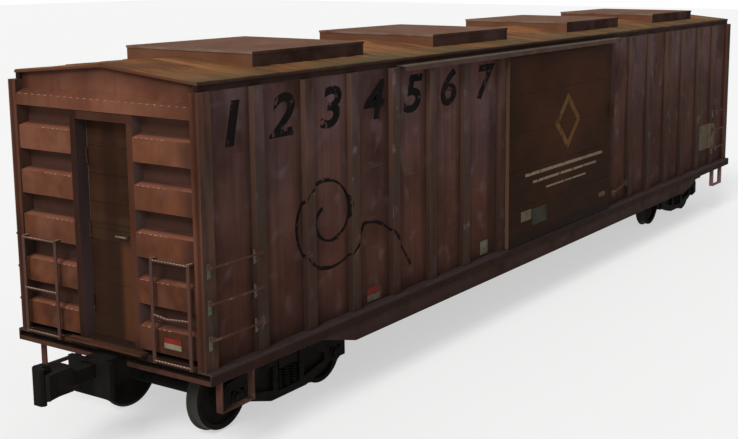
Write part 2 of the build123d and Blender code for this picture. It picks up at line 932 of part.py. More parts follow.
def end_ladder(bent):
    """Ladder of the -X end, -Y half: flat stiles on brackets and three rungs, the middle one may be bent."""
    front = -body_end - ladder_reach
    back = front + stile_thickness
    rib_x = -body_end + end_rib_setback
    ladder = Part()
    first_rung = ladder_bottom + ladder_end_gap
    last_rung = ladder_top - ladder_end_gap
    for y in (-ladder_inner_y, -ladder_outer_y):
        low = y - stile_width / 2
        high = y + stile_width / 2
        ladder += block(front, back, low, high, ladder_bottom, ladder_top)
        ladder += block(back, -body_end, low, high, ladder_bottom, ladder_bottom + stile_width)
        ladder += block(back, rib_x, low, high, ladder_top - stile_thickness, ladder_top)
    rung_x = (front + back) / 2
    middle_rung = first_rung + ladder_middle_rise
    for rung_z in (first_rung, last_rung):
        ladder += rod_y(rung_x, -ladder_outer_y, -ladder_inner_y, rung_z, rung_radius)
    if bent:
        return ladder + bent_rung(rung_x, middle_rung)
    return ladder + rod_y(rung_x, -ladder_outer_y, -ladder_inner_y, middle_rung, rung_radius)


def end_ladders():
    ladder = end_ladder(False)
    far = across(ladder)
    return [end_ladder(True), far, turned(ladder), turned(far)]


def grab_iron(x0, x1, z):
    """Round grab iron of the -Y side, from foot to foot."""
    bar_y = -post_face_y - grab_reach
    bar = rod_x(x0, x1, bar_y, z, rung_radius)
    for x, inward in ((x0, 1), (x1, -1)):
        on_post = abs(x) > wall_end or abs(abs(x) - last_post_x) < post_face_width / 2
        foot_y = -post_face_y if on_post else -wall_outer_y
        near = min(x, x + inward * grab_foot)
        foot_front = bar_y - rung_radius / 2
        bar += block(near, near + grab_foot, foot_front, foot_y, z - rung_radius, z + rung_radius)
    return bar


def grab_irons():
    corner_x = -body_end + corner_grab_inset
    bay_x = body_end - bay_grab_inset
    pieces = []
    for index in range(grab_count):
        z = sill_top + grab_first_rise + index * grab_pitch
        for x0, x1 in ((corner_x, corner_x + corner_grab_length), (bay_x - bay_grab_length, bay_x)):
            bar = grab_iron(x0, x1, z)
            pieces += [bar, across(bar)]
    return pieces


def step_stirrup(x0, top, y0):
    """U-shaped step bent from a flat strap, hung from top, with its outer edge at y0 on the -Y side."""
    x1 = x0 + step_length
    bottom = end_sill_bottom - step_drop
    outer = [(x0, top), (x0, bottom), (x1, bottom), (x1, top)]
    inner = [
        (x1 - step_strap_thickness, top),
        (x1 - step_strap_thickness, bottom + step_strap_thickness),
        (x0 + step_strap_thickness, bottom + step_strap_thickness),
        (x0 + step_strap_thickness, top),
    ]
    return prism_y(outer + inner, y0, y0 + step_strap_width)


def step_stirrups():
    """Near steps hang from the side sill's web; far steps are set in, under the floor's edge."""
    pieces = []
    for x0 in (-body_end + corner_step_inset, body_end - bay_step_inset - step_length):
        pieces.append(step_stirrup(x0, end_sill_bottom, -sill_face_y))
        pieces.append(across(step_stirrup(x0, floor_bottom, -wall_inner_y)))
    return pieces


def hung_tank(x, radius, length):
    """A brake tank along X with two straps up to the floor."""
    middle_z = floor_bottom - brake_gear_drop
    tank = rod_x(x - length / 2, x + length / 2, brake_gear_y, middle_z, radius)
    tank = chamfer(tank.edges().filter_by(GeomType.CIRCLE), tank_chamfer)
    for strap_x in (x - length / 4, x + length / 4):
        tank += block(
            strap_x - strap_width / 2, strap_x + strap_width / 2, brake_gear_y - radius / 2,
            brake_gear_y + radius / 2, middle_z, floor_bottom,
        )
    return tank


def air_brake_gear():
    reservoir = hung_tank(reservoir_x, reservoir_radius, reservoir_length)
    cylinder = hung_tank(cylinder_x, cylinder_radius, cylinder_length)
    return [reservoir, cylinder]


def save(name, shapes):
    """Write one node; a list is a node of several separate solids."""
    if isinstance(shapes, list):
        solids = [solid for shape in shapes for solid in shape.solids()]
        shapes = Compound(children=solids)
    export_step(shapes, f"parts/{name}.step")


def save_body():
    save("floor_deck", floor_deck())
    save("centre_sill", centre_sill())
    save("body_bolsters", body_bolsters())
    save("cross_bearers", cross_bearers())
    sill = side_sill()
    save("side_sill_near", sill)
    save("side_sill_far", across(sill))
    sill = end_sill()
    save("end_sills", [sill, turned(sill)])
    pocket = draft_pocket()
    save("draft_pockets", [turned(pocket), pocket])
    body = coupler()
    save("couplers", [turned(body), body])
    jaw = knuckle()
    save("coupler_knuckles", [turned(jaw), jaw])
    save("air_brake_gear", air_brake_gear())
    wall = wall_section()
    save("wall_near_a", wall)
    save("wall_near_b", along(wall))
    save("wall_far_a", across(wall))
    save("wall_far_b", turned(wall))
    save("corner_posts", corner_posts())
    chord = eave_chord()
    save("eave_chord_near", chord)
    save("eave_chord_far", across(chord))
    track = door_track()
    save("door_track_near", track)
    save("door_track_far", turned(track))
    save("roof_deck", roof_deck())
    save("roof_hatches", roof_hatches())
    wall = end_wall()
    save("end_wall_a", wall)
    save("end_wall_b", [turned(piece) for piece in wall])
    beam = end_beam()
    save("end_beams", [beam, turned(beam)])
    frame = end_door_frame()
    save("end_door_frames", [frame, turned(frame)])
    save("end_ladders", end_ladders())
    save("grab_irons", grab_irons())
    save("step_stirrups", step_stirrups())


def save_doors():
    door = side_door()
    save("side_door_near", door)
    save("side_door_far", turned(door))
    door = end_door()
    save("end_door_a", door)
    save("end_door_b", turned(door))


def save_trucks():
    for truck, truck_place in (("a", -truck_x), ("b", truck_x)):
        save(f"truck_{truck}_side_frames", side_frames(truck_place))
        save(f"truck_{truck}_bolster", truck_bolster(truck_place))
        save(f"truck_{truck}_springs", truck_springs(truck_place))
        save(f"truck_{truck}_brake_beams", brake_beams(truck_place))
        for number, offset in ((1, -axle_offset), (2, axle_offset)):
            axle_x = truck_place + offset
            save(f"wheels_{truck}{number}", wheel_pair(axle_x))
            save(f"axle_{truck}{number}", axle(axle_x))


os.makedirs("parts", exist_ok=True)
save_body()
save_doors()
save_trucks()
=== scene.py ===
import math

import bmesh
import bpy
from mathutils import Euler, Matrix, Vector
from mathutils.bvhtree import BVHTree


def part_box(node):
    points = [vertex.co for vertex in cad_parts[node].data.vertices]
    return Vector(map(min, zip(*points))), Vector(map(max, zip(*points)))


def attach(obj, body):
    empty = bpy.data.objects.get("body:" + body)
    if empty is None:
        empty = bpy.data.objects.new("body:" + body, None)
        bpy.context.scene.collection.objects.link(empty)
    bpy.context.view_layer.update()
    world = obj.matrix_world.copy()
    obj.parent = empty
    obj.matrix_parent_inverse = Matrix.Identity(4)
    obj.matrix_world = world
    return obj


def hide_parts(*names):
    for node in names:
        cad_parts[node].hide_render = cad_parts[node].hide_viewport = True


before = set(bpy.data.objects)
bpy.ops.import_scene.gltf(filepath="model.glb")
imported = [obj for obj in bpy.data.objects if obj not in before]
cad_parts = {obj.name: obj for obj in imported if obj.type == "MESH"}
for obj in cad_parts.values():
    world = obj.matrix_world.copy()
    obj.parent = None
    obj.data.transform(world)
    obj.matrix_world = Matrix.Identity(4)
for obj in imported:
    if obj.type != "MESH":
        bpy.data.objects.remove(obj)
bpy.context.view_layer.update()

# Sizes in metres, read from the frame where a node holds them
wall_low, wall_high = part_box("wall_near_a")
roof_low, roof_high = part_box("roof_deck")
end_sill_low, end_sill_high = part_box("end_sills")
end_door_low, end_door_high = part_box("end_door_a")
wheel_low, wheel_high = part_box("wheels_a1")
body_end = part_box("corner_posts")[1].x
hatch_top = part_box("roof_hatches")[1].z
beam_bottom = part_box("end_beams")[0].z
rib_face = -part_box("end_wall_a")[0].x
post_depth = 0.06
post_slope_run = 0.02
post_face = -wall_low.y
panel_face = post_face - post_depth
door_face = post_face + 0.065
deck_top = wall_low.z
wall_top = wall_high.z
axle_height = (wheel_low.z + wheel_high.z) / 2
first_post = 2.925
post_pitch = 0.877
tread_radius = 0.419

bolt_radius = 0.014
bolt_size = (bolt_radius, bolt_radius, 0.02)
weld_size = (0.004, 0.024, 0.0035)
paint_lift = 0.0015
numeral_size = 0.66
numeral_foot = 3.435
plate_thickness = 0.006
plate_edge = 0.002
poster_bottom = 1.43
poster_top = 1.96
foot_board_width = 0.058
coil_radius = 0.058
coil_wire = 0.0135
quarter = math.pi / 2
facing_side = (quarter, 0, 0)
facing_up = (0, 0, 0)
roof_length = roof_high.x - roof_low.x
roof_board_count = round(roof_length / 0.18)
roof_board_pitch = roof_length / roof_board_count


def srgb(red, green, blue):
    """Linear colour of an sRGB triple given in 0 to 255."""
    linear = []
    for value in (red, green, blue):
        share = value / 255
        linear.append(share / 12.92 if share <= 0.04045 else ((share + 0.055) / 1.055) ** 2.4)
    return (*linear, 1.0)


# Paint and metal colours
side_brown = srgb(90, 60, 51)
side_red = srgb(78, 46, 36)
side_dark = srgb(51, 33, 28)
side_fade = srgb(96, 77, 78)
side_pale = srgb(110, 99, 105)
post_grey = srgb(62, 50, 43)
post_green = srgb(63, 56, 46)
flank_brown = srgb(84, 61, 49)
# Dark colour for real dirt and soot, also laid as painted shade in corners, recesses and under the roof
grime_and_shade = srgb(40, 29, 25)
rust_orange = srgb(118, 76, 52)
end_brown = srgb(112, 70, 50)
end_red = srgb(98, 59, 44)
end_pink = srgb(124, 84, 68)
end_orange = srgb(118, 70, 46)
end_low_brown = srgb(68, 39, 26)
end_recess = srgb(78, 54, 46)
frame_brown = srgb(80, 50, 38)
sill_brown = srgb(37, 27, 24)
sill_purple = srgb(58, 47, 46)
roof_tan = srgb(146, 101, 62)
roof_orange = srgb(132, 82, 48)
roof_brown = srgb(84, 57, 40)
roof_olive = srgb(90, 80, 56)
hatch_brown = srgb(106, 76, 61)
hatch_red = srgb(98, 66, 50)
hatch_dark = srgb(77, 56, 50)
worn_pale = srgb(136, 127, 112)
door_brown = srgb(52, 32, 20)
door_red = srgb(64, 37, 24)
door_dark = srgb(37, 23, 15)
track_grey = srgb(88, 88, 80)
iron_black = srgb(20, 19, 18)
iron_dust = srgb(39, 36, 33)
tread_grey = srgb(58, 57, 53)
deck_brown = srgb(98, 78, 58)
stencil_black = srgb(17, 15, 15)
rib_slope_highlight = srgb(138, 87, 67)
gable_brown = srgb(118, 76, 58)
jamb_shade = srgb(38, 24, 20)
reveal_purple = srgb(66, 52, 53)
reveal_dark = srgb(52, 38, 37)
reveal_dust = srgb(86, 66, 66)
reveal_outer = srgb(98, 76, 70)
sill_red = srgb(44, 29, 24)
belly_brown = srgb(57, 42, 36)
end_sill_brown = srgb(43, 29, 22)
end_sill_dark = srgb(32, 23, 18)
end_sill_lip = srgb(74, 47, 37)
# Near black for the painted shade in the end sills' groove
groove_shade_black = srgb(22, 17, 15)
board_brown = srgb(84, 54, 39)
board_dark = srgb(54, 36, 27)
eave_brown = srgb(62, 44, 38)
eave_dark = srgb(48, 34, 31)
hatch_end_tan = srgb(116, 79, 59)
hatch_end_red = srgb(104, 66, 48)
door_mottle = srgb(46, 29, 20)
door_edge_highlight = srgb(93, 67, 53)
end_door_brown = srgb(56, 36, 25)
end_door_red = srgb(68, 43, 28)
end_door_rail = srgb(66, 48, 35)
end_door_shaded_olive = srgb(43, 29, 21)
end_door_dust = srgb(74, 52, 38)
end_door_lit_warm = srgb(84, 51, 33)
track_brown = srgb(84, 65, 58)
track_dark = srgb(68, 50, 44)
grab_red = srgb(82, 53, 45)
grab_brown = srgb(62, 42, 36)
step_fade = srgb(126, 96, 93)
ladder_brown = srgb(76, 47, 37)
ladder_dark = srgb(58, 37, 30)
rung_highlight = srgb(190, 160, 134)
weld_metal_and_highlight = srgb(176, 150, 130)
badge_ochre = srgb(92, 66, 36)
badge_cream = srgb(122, 108, 88)
floor_white = srgb(244, 244, 243)
floor_pale = srgb(240, 240, 239)


class Nodes:
    """Adds nodes to a node tree and fills their inputs with values or links."""

    def __init__(self, tree):
        self.tree = tree

    def fill(self, made, values):
        for key, value in values.items():
            if isinstance(value, bpy.types.NodeSocket):
                self.tree.links.new(value, made.inputs[key])
            else:
                made.inputs[key].default_value = value

    def node(self, kind, values, **settings):
        made = self.tree.nodes.new(kind)
        for key, value in settings.items():
            setattr(made, key, value)
        self.fill(made, values)
        return made

    def math(self, operation, first, second=0.0):
        return self.node("ShaderNodeMath", {0: first, 1: second}, operation=operation).outputs[0]

    def backdrop_rays(self):
        """1 for the rays that show the surroundings: from the camera, off gloss or through glass."""
        path = self.node("ShaderNodeLightPath", {}).outputs
        seen = self.math("MAXIMUM", path["Is Camera Ray"], path["Is Glossy Ray"])
        return self.math("MAXIMUM", seen, path["Is Transmission Ray"])


class Finish(Nodes):
    """One procedural material on Object coordinates, built up in coats of colour."""

    def __init__(self, name):
        self.material = bpy.data.materials.new(name)
        self.material.use_nodes = True
        super().__init__(self.material.node_tree)
        self.surface = self.tree.nodes["Principled BSDF"]
        self.place = self.node("ShaderNodeTexCoord", {}).outputs["Object"]
        parts = self.node("ShaderNodeSeparateXYZ", {"Vector": self.place})
        self.x, self.y, self.z = parts.outputs
        self.colour = None

    def absolute(self, value):
        return self.math("ABSOLUTE", value)

    def apart(self, first, second):
        """Distance between two values."""
        return self.absolute(self.math("SUBTRACT", first, second))

    def both(self, first, second):
        """Mask where two masks meet."""
        return self.math("MULTIPLY", first, second)

    def span(self, value, start, end, low=0.0, high=1.0):
        """Value mapped from start..end to low..high, and held there beyond."""
        made = self.node(
            "ShaderNodeMapRange",
            {"Value": value, "From Min": start, "From Max": end, "To Min": low, "To Max": high},
        )
        return made.outputs[0]

    def height(self, start, end):
        """Mask that rises between two heights."""
        return self.span(self.z, start, end)

    def noise(self, scale, detail=4.0, stretch=(1, 1, 1), shift=(0, 0, 0), roughness=0.55):
        moved = self.node("ShaderNodeMapping", {"Vector": self.place, "Scale": stretch, "Location": shift})
        made = self.node(
            "ShaderNodeTexNoise",
            {"Vector": moved.outputs[0], "Scale": scale, "Detail": detail, "Roughness": roughness},
        )
        return made.outputs[0]

    def patches(self, scale, start, end, detail=4.0, stretch=(1, 1, 1), shift=(0, 0, 0)):
        """Mask of noise patches between two noise levels."""
        return self.span(self.noise(scale, detail, stretch, shift), start, end)

    def mix(self, factor, first, second):
        return self.node("ShaderNodeMix", {0: factor, 6: first, 7: second}, data_type="RGBA").outputs[2]

    def lay(self, colour, over, mask, amount):
        """A colour laid over another where the mask is, at most by amount."""
        return self.mix(self.both(mask, amount), colour, over)

    def coat(self, over, mask, amount):
        """Lays a coat over the finish's colour."""
        self.colour = self.lay(self.colour, over, mask, amount)

    def normal(self):
        return self.node("ShaderNodeNewGeometry", {}).outputs["Normal"]

    def facing(self):
        """The three parts of the surface's normal."""
        return self.node("ShaderNodeSeparateXYZ", {"Vector": self.normal()}).outputs

    def faces(self, axis):
        """Mask of the faces that look along an axis, either way."""
        return self.span(self.absolute(self.facing()[axis]), 0.4, 0.7)

    def upward(self, start, end, low=0.0, high=1.0):
        """Mask of the faces that look up."""
        return self.span(self.facing()[2], start, end, low, high)

    def edge(self, radius, noise_scale=9.0):
        """Mask of worn outer edges, broken up by noise."""
        bevel = self.node("ShaderNodeBevel", {"Radius": radius}, samples=6)
        dot = self.node(
            "ShaderNodeVectorMath", {0: bevel.outputs[0], 1: self.normal()}, operation="DOT_PRODUCT"
        )
        rim = self.span(dot.outputs["Value"], 0.995, 0.86)
        return self.both(rim, self.patches(noise_scale, 0.38, 0.62, 5.0))

    def corner_shade(self, distance):
        """Mask of inner corners, from ambient occlusion, for painted shade there."""
        made = self.node("ShaderNodeAmbientOcclusion", {"Distance": distance}, samples=6, only_local=True)
        return self.span(made.outputs["AO"], 0.92, 0.5)

    def close(self, roughness, bump=None, strength=0.3, depth=0.004, specular=0.03):
        """Joins colour, roughness and bump to the shader and gives the material."""
        values = {"Base Color": self.colour, "Roughness": roughness, "Specular IOR Level": specular}
        self.fill(self.surface, values)
        if bump is not None:
            made = self.node("ShaderNodeBump", {"Height": bump, "Strength": strength, "Distance": depth})
            self.fill(self.surface, {"Normal": made.outputs[0]})
        return self.material

    def paint_roughness(self):
        return self.span(self.noise(4.0, 4.0), 0.3, 0.7, 0.66, 0.86)

    def painted(self, strength=0.35, depth=0.01):
        """Closes a dull paint with dents and grit."""
        roughness = self.paint_roughness()
        dents = self.noise(1.1, 2.0, shift=(5, 5, 5))
        grit = self.noise(55.0, 4.0)
        bump = self.math("ADD", dents, self.math("MULTIPLY", grit, 0.12))
        return self.close(roughness, bump, strength, depth)


def side_coats(finish):
    """Faded red-brown car side paint: bleached above, redder below, with spots, brush marks and scuffs."""
    height = finish.height(deck_top, wall_top)
    finish.colour = finish.mix(finish.patches(0.9, 0.36, 0.62, 5.0), side_brown, side_dark)
    finish.coat(side_red, finish.span(height, 0.8, 0.1), 0.55)
    upper = finish.span(height, 0.3, 0.95)
    bleach = finish.patches(1.2, 0.34, 0.62, 5.0, (1, 1, 0.6), (11, 2, 5))
    finish.coat(side_fade, finish.both(upper, bleach), 0.8)
    brush = finish.patches(3.0, 0.42, 0.75, 5.0, (5, 5, 0.2))
    finish.coat(side_dark, brush, 0.5)
    spots = finish.patches(3.4, 0.6, 0.9, 1.0, (1, 1, 0.9), (4, 7, 1))
    finish.coat(side_pale, spots, 0.6)
    scuffs = finish.patches(2.2, 0.64, 0.74, 6.0, (0.6, 0.6, 6), (1, 5, 8))
    finish.coat(side_fade, scuffs, 0.4)
    foot = finish.both(finish.span(height, 0.16, 0.0), finish.patches(2.0, 0.3, 0.6))
    finish.coat(grime_and_shade, foot, 0.6)


def side_paint():
    """Wall sections: panel paint, painted shade in the inner corners, darker bands beside the posts, and
    grey-green rubbed post faces.
    """
    finish = Finish("side_paint")
    side_coats(finish)
    # Painted shade: the inner corners of panels and posts are darkened.
    finish.coat(grime_and_shade, finish.corner_shade(0.16), 0.55)
    past_first = finish.math("SUBTRACT", finish.absolute(finish.x), first_post)
    from_post = finish.math("PINGPONG", past_first, post_pitch / 2)
    streaks = finish.patches(2.6, 0.36, 0.62, 5.0, (2, 2, 0.35), (5, 4, 4))
    finish.coat(side_dark, finish.both(finish.span(from_post, 0.26, 0.1), streaks), 0.7)
    depth = finish.absolute(finish.y)
    face = finish.span(depth, post_face - 0.008, post_face - 0.002)
    flank = finish.span(depth, panel_face + 0.004, panel_face + 0.012)
    along = finish.both(flank, finish.faces(0))
    finish.coat(flank_brown, along, 0.7)
    finish.coat(grime_and_shade, finish.both(along, finish.height(3.6, 1.8)), 0.75)
    beside = finish.both(finish.span(from_post, 0.24, 0.13), finish.math("SUBTRACT", 1.0, flank))
    finish.coat(grime_and_shade, finish.both(beside, finish.height(3.7, 2.7)), 0.4)
    rubbed = finish.patches(1.6, 0.4, 0.6, 5.0, (2, 2, 0.45), (2, 9, 4))
    finish.coat(post_grey, finish.both(face, rubbed), 0.75)
    mossy = finish.patches(2.4, 0.5, 0.66, 5.0, (2, 2, 0.6), (7, 3, 3))
    finish.coat(post_green, finish.both(face, mossy), 0.65)
    chalk = finish.patches(2.4, 0.44, 0.64, 5.0, (1, 1, 0.5), (3, 1, 8))
    chalk = finish.both(finish.height(2.9, 3.6), chalk)
    finish.coat(side_fade, finish.both(face, chalk), 0.6)
    flakes = finish.patches(5.0, 0.62, 0.7, 6.0, (1, 1, 0.7), (3, 1, 8))
    finish.coat(side_pale, finish.both(face, flakes), 0.5)
    finish.coat(grime_and_shade, finish.height(1.9, 1.2), 0.25)
    far_end = finish.both(finish.span(finish.x, 2.0, 2.6), finish.height(3.5, 3.0))
    finish.coat(grime_and_shade, finish.both(far_end, finish.math("SUBTRACT", 1.0, along)), 0.3)
    finish.coat(rust_orange, finish.edge(0.012), 0.25)
    return finish.painted()


def corner_paint():
    """Corner posts: end brown on the faces along the car, grey-green on the side faces."""
    finish = Finish("corner_paint")
    along = finish.faces(0)
    side = finish.mix(finish.patches(1.6, 0.36, 0.6, 5.0, (2, 2, 0.45)), side_brown, post_grey)
    side = finish.lay(side, post_green, finish.patches(2.2, 0.48, 0.66, 5.0, (2, 2, 0.6), (7, 3, 3)), 0.8)
    side = finish.lay(side, grime_and_shade, finish.patches(2.8, 0.46, 0.7, 5.0, (3, 3, 0.3)), 0.7)
    end = finish.mix(finish.patches(1.4, 0.35, 0.65, 5.0, (2, 2, 0.5)), end_red, end_low_brown)
    across = finish.absolute(finish.y)
    middle = finish.apart(across, post_face - 0.05)
    end = finish.lay(end, grime_and_shade, finish.span(middle, 0.04, 0.012), 0.7)
    end = finish.lay(end, grime_and_shade, finish.height(deck_top + 1.4, deck_top - 0.1), 0.45)
    finish.colour = finish.mix(along, side, end)
    finish.coat(rust_orange, finish.edge(0.012), 0.4)
    return finish.painted()


def end_paint():
    """Rust-brown ends: bright rib faces with a painted highlight on their upper slopes, darker low down,
    painted shade in the recesses, towards the near side, beside the near corner post and in the corners, and
    rubbed edges.
    """
    finish = Finish("end_paint")
    reach = finish.absolute(finish.x)
    recess = finish.span(reach, body_end - 0.06, body_end - 0.14)
    finish.colour = finish.mix(finish.patches(1.2, 0.35, 0.65, 5.0), end_brown, end_red)
    finish.coat(end_pink, finish.patches(2.6, 0.48, 0.7, 5.0, (1, 1, 1.4), (4, 8, 1)), 0.6)
    finish.coat(end_low_brown, finish.height(3.5, 1.8), 0.95)
    # Painted shade: the end grows a little darker towards the near side.
    finish.coat(end_low_brown, finish.span(finish.y, 0.3, -1.1), 0.2)
    low_corner = finish.both(finish.height(1.62, 1.25), finish.span(finish.y, 0.2, -0.7))
    finish.coat(end_low_brown, finish.patches(3.0, 0.45, 0.75, 5.0, (2, 2, 0.5)), 0.3)
    finish.coat(end_pink, finish.patches(1.9, 0.46, 0.62, 2.0, shift=(6, 3, 5)), 0.35)
    finish.coat(frame_brown, finish.patches(4.0, 0.5, 0.68, 6.0, shift=(1, 2, 9)), 0.5)
    glow = finish.patches(3.2, 0.46, 0.7, 3.0, (1.1, 1.1, 0.9), (3, 8, 2))
    finish.coat(end_orange, glow, 0.4)
    # Painted shade: the recessed plate between the ribs is laid darker, more so below mid height.
    finish.coat(end_recess, recess, 0.85)
    finish.coat(grime_and_shade, finish.both(recess, finish.height(3.3, 2.3)), 0.4)
    # Painted highlight: the upward-facing slopes of the ribs are laid lighter.
    upper = finish.both(finish.upward(0.2, 0.6), finish.patches(2.2, 0.25, 0.5))
    upper = finish.both(upper, finish.span(reach, body_end - 0.14, body_end - 0.07))
    # Painted shade at the near-side ends of the ribs, next to the corner post.
    finish.coat(grime_and_shade, finish.span(finish.y, -1.1, -1.27), 0.6)
    finish.coat(rib_slope_highlight, upper, 0.85)
    finish.coat(grime_and_shade, low_corner, 0.45)
    # Painted shade in the inner corners.
    finish.coat(grime_and_shade, finish.corner_shade(0.14), 0.45)
    finish.coat(end_pink, finish.edge(0.012, 4.0), 0.8)
    return finish.painted()


def gable_paint():
    """Top beam and gable: end paint, with painted shade under the roof's edge and at the gable's outer
    corners.
    """
    finish = Finish("gable_paint")
    finish.colour = finish.mix(finish.patches(1.2, 0.35, 0.65, 5.0), gable_brown, end_red)
    finish.coat(end_pink, finish.patches(2.4, 0.5, 0.72, 5.0, (1, 1, 1.4), (4, 8, 1)), 0.4)
    side = finish.absolute(finish.y)
    above_beam = finish.height(beam_bottom + 0.14, beam_bottom + 0.2)
    # Painted shade at the gable's outer corners above the beam, under the roof.
    finish.coat(grime_and_shade, finish.both(finish.span(side, 1.2, 1.3), above_beam), 0.85)
    # Painted shadow along the underside of the roof's edge.
    roof_line = finish.math("ADD", finish.z, finish.math("MULTIPLY", side, 0.09))
    roof_shadow = finish.span(roof_line, roof_high.z - 0.24, roof_high.z - 0.05)
    finish.coat(grime_and_shade, roof_shadow, 0.6)
    finish.coat(end_low_brown, finish.span(side, 0.7, 1.35), 0.5)
    finish.coat(end_low_brown, finish.patches(3.0, 0.5, 0.78, 5.0, (4, 4, 0.4)), 0.35)
    finish.coat(worn_pale, finish.edge(0.01), 0.35)
    return finish.painted()


def frame_paint():
    """End door frames: darker brown, with painted shade at the head, sooty at the foot, and purple in the
    reveals.
    """
    finish = Finish("frame_paint")
    across = finish.faces(1)
    finish.colour = finish.mix(finish.patches(1.6, 0.35, 0.65, 5.0, (2, 2, 0.5)), frame_brown, end_low_brown)
    # Painted shade at the frame's head, above the door.
    head = finish.height(end_door_high.z - 0.08, end_door_high.z + 0.02)
    finish.coat(grime_and_shade, head, 0.4)
    foot = finish.height(end_door_low.z + 0.2, end_door_low.z)
    finish.coat(grime_and_shade, foot, 0.85)
    shaded = finish.span(finish.both(finish.x, finish.y), -2.9, -3.2)
    finish.coat(jamb_shade, shaded, 0.8)
    reveal = finish.mix(finish.patches(1.4, 0.35, 0.65, 4.0, (2, 2, 0.4)), reveal_purple, reveal_dark)
    reveal = finish.lay(reveal, reveal_dust, finish.height(3.0, 1.5), 0.7)
    outer = finish.span(finish.absolute(finish.y), end_door_high.y + 0.04, end_door_high.y + 0.05)
    reveal = finish.lay(reveal, reveal_outer, outer, 0.8)
    finish.colour = finish.mix(across, finish.colour, reveal)
    finish.coat(end_pink, finish.edge(0.008), 0.3)
    return finish.painted(0.3, 0.008)


def sill_paint():
    """Side sills and chords: dark brown, a dusty purple ledge and lip, and a browner belly plate."""
    finish = Finish("sill_paint")
    finish.colour = finish.mix(finish.patches(1.5, 0.35, 0.65, 5.0), sill_brown, sill_red)
    finish.coat(side_red, finish.patches(2.8, 0.5, 0.72, 5.0, shift=(7, 3, 2)), 0.15)
    upward = finish.upward(0.5, 0.9)
    lip = finish.height(deck_top - 0.034, deck_top - 0.026)
    lip = finish.both(lip, finish.height(deck_top + 0.2, deck_top + 0.1))
    dusty = finish.math("MAXIMUM", upward, lip)
    finish.coat(sill_purple, finish.both(dusty, finish.patches(2.0, 0.2, 0.5)), 0.9)
    # Painted shadow: the ledge and lip under the side doors are darkened.
    door_shadow = finish.span(finish.absolute(finish.x), 1.86, 1.8)
    finish.coat(iron_black, finish.both(door_shadow, dusty), 0.6)
    belly = finish.height(deck_top - 0.13, deck_top - 0.14)
    finish.coat(belly_brown, finish.both(belly, finish.patches(2.4, 0.25, 0.5)), 0.85)
    finish.coat(sill_purple, finish.both(belly, finish.patches(3.6, 0.54, 0.7)), 0.6)
    finish.coat(grime_and_shade, finish.height(deck_top - 0.22, deck_top - 0.34), 0.6)
    finish.coat(worn_pale, finish.edge(0.008), 0.25)
    return finish.painted()


def end_sill_paint():
    """End sills: sooty above, with painted shade in the groove, and a red-brown lip below."""
    finish = Finish("end_sill_paint")
    reach = finish.absolute(finish.x)
    finish.colour = finish.mix(finish.patches(1.8, 0.35, 0.65, 5.0), end_sill_brown, end_sill_dark)
    lip = finish.height(end_sill_low.z + 0.06, end_sill_low.z + 0.045)
    finish.coat(end_sill_lip, finish.both(lip, finish.patches(2.4, 0.25, 0.5)), 0.9)
    # Painted shade: the recessed web of the sill is laid near black.
    groove = finish.span(reach, body_end - 0.01, body_end - 0.04)
    finish.coat(groove_shade_black, groove, 0.85)
    finish.coat(worn_pale, finish.edge(0.008), 0.2)
    return finish.painted()


def foot_board_wood():
    """Foot boards at the end doors: brown wood, streaked along the grain and stained."""
    finish = Finish("foot_board_wood")
    grain = finish.noise(5.0, 6.0, (3.0, 0.35, 3.0), (2, 6, 1))
    finish.colour = finish.mix(finish.span(grain, 0.38, 0.66), board_brown, board_dark)
    finish.coat(grime_and_shade, finish.patches(2.2, 0.48, 0.66, 5.0, shift=(4, 4, 1)), 0.7)
    finish.coat(worn_pale, finish.edge(0.006), 0.2)
    return finish.close(finish.span(grain, 0.3, 0.7, 0.72, 0.9), grain, 0.4, 0.003)


def roof_edge_paint():
    """Roof sheet under the boards: dark brown edges with dust."""
    finish = Finish("roof_edge_paint")
    finish.colour = finish.mix(finish.patches(1.7, 0.35, 0.65, 5.0), eave_brown, eave_dark)
    along = finish.faces(0)
    finish.coat(end_red, along, 0.75)
    finish.coat(roof_olive, finish.patches(3.5, 0.56, 0.74, 5.0, shift=(1, 6, 3)), 0.35)
    return finish.painted(0.3, 0.008)


def roof_board_wood():
    """Weathered roof boards: each its own tone, grain down the slope, olive near the eaves."""
    finish = Finish("roof_board_wood")
    along = finish.math("DIVIDE", finish.x, roof_board_pitch)
    board = finish.math("FLOOR", finish.math("ADD", along, roof_board_count / 2))
    dice = finish.node("ShaderNodeTexWhiteNoise", {"W": board}, noise_dimensions="1D")
    tone = dice.outputs["Value"]
    finish.colour = finish.mix(tone, roof_tan, roof_orange)
    stain = finish.patches(1.3, 0.44, 0.6, 6.0, (1.6, 0.8, 0.8), (3, 3, 0))
    finish.coat(roof_brown, stain, 0.8)
    grain = finish.noise(6.0, 5.0, (7.0, 0.3, 0.3))
    finish.coat(roof_brown, finish.span(grain, 0.46, 0.72), 0.7)
    side = finish.absolute(finish.y)
    eave = finish.both(finish.span(side, 0.7, 1.25), finish.patches(1.0, 0.28, 0.58, 5.0))
    finish.coat(roof_olive, eave, 0.9)
    drip = finish.both(finish.span(side, 1.2, 1.4), finish.span(grain, 0.3, 0.6))
    finish.coat(grime_and_shade, drip, 0.3)
    roughness = finish.span(grain, 0.3, 0.7, 0.75, 0.92)
    return finish.close(roughness, grain, 0.5, 0.004)


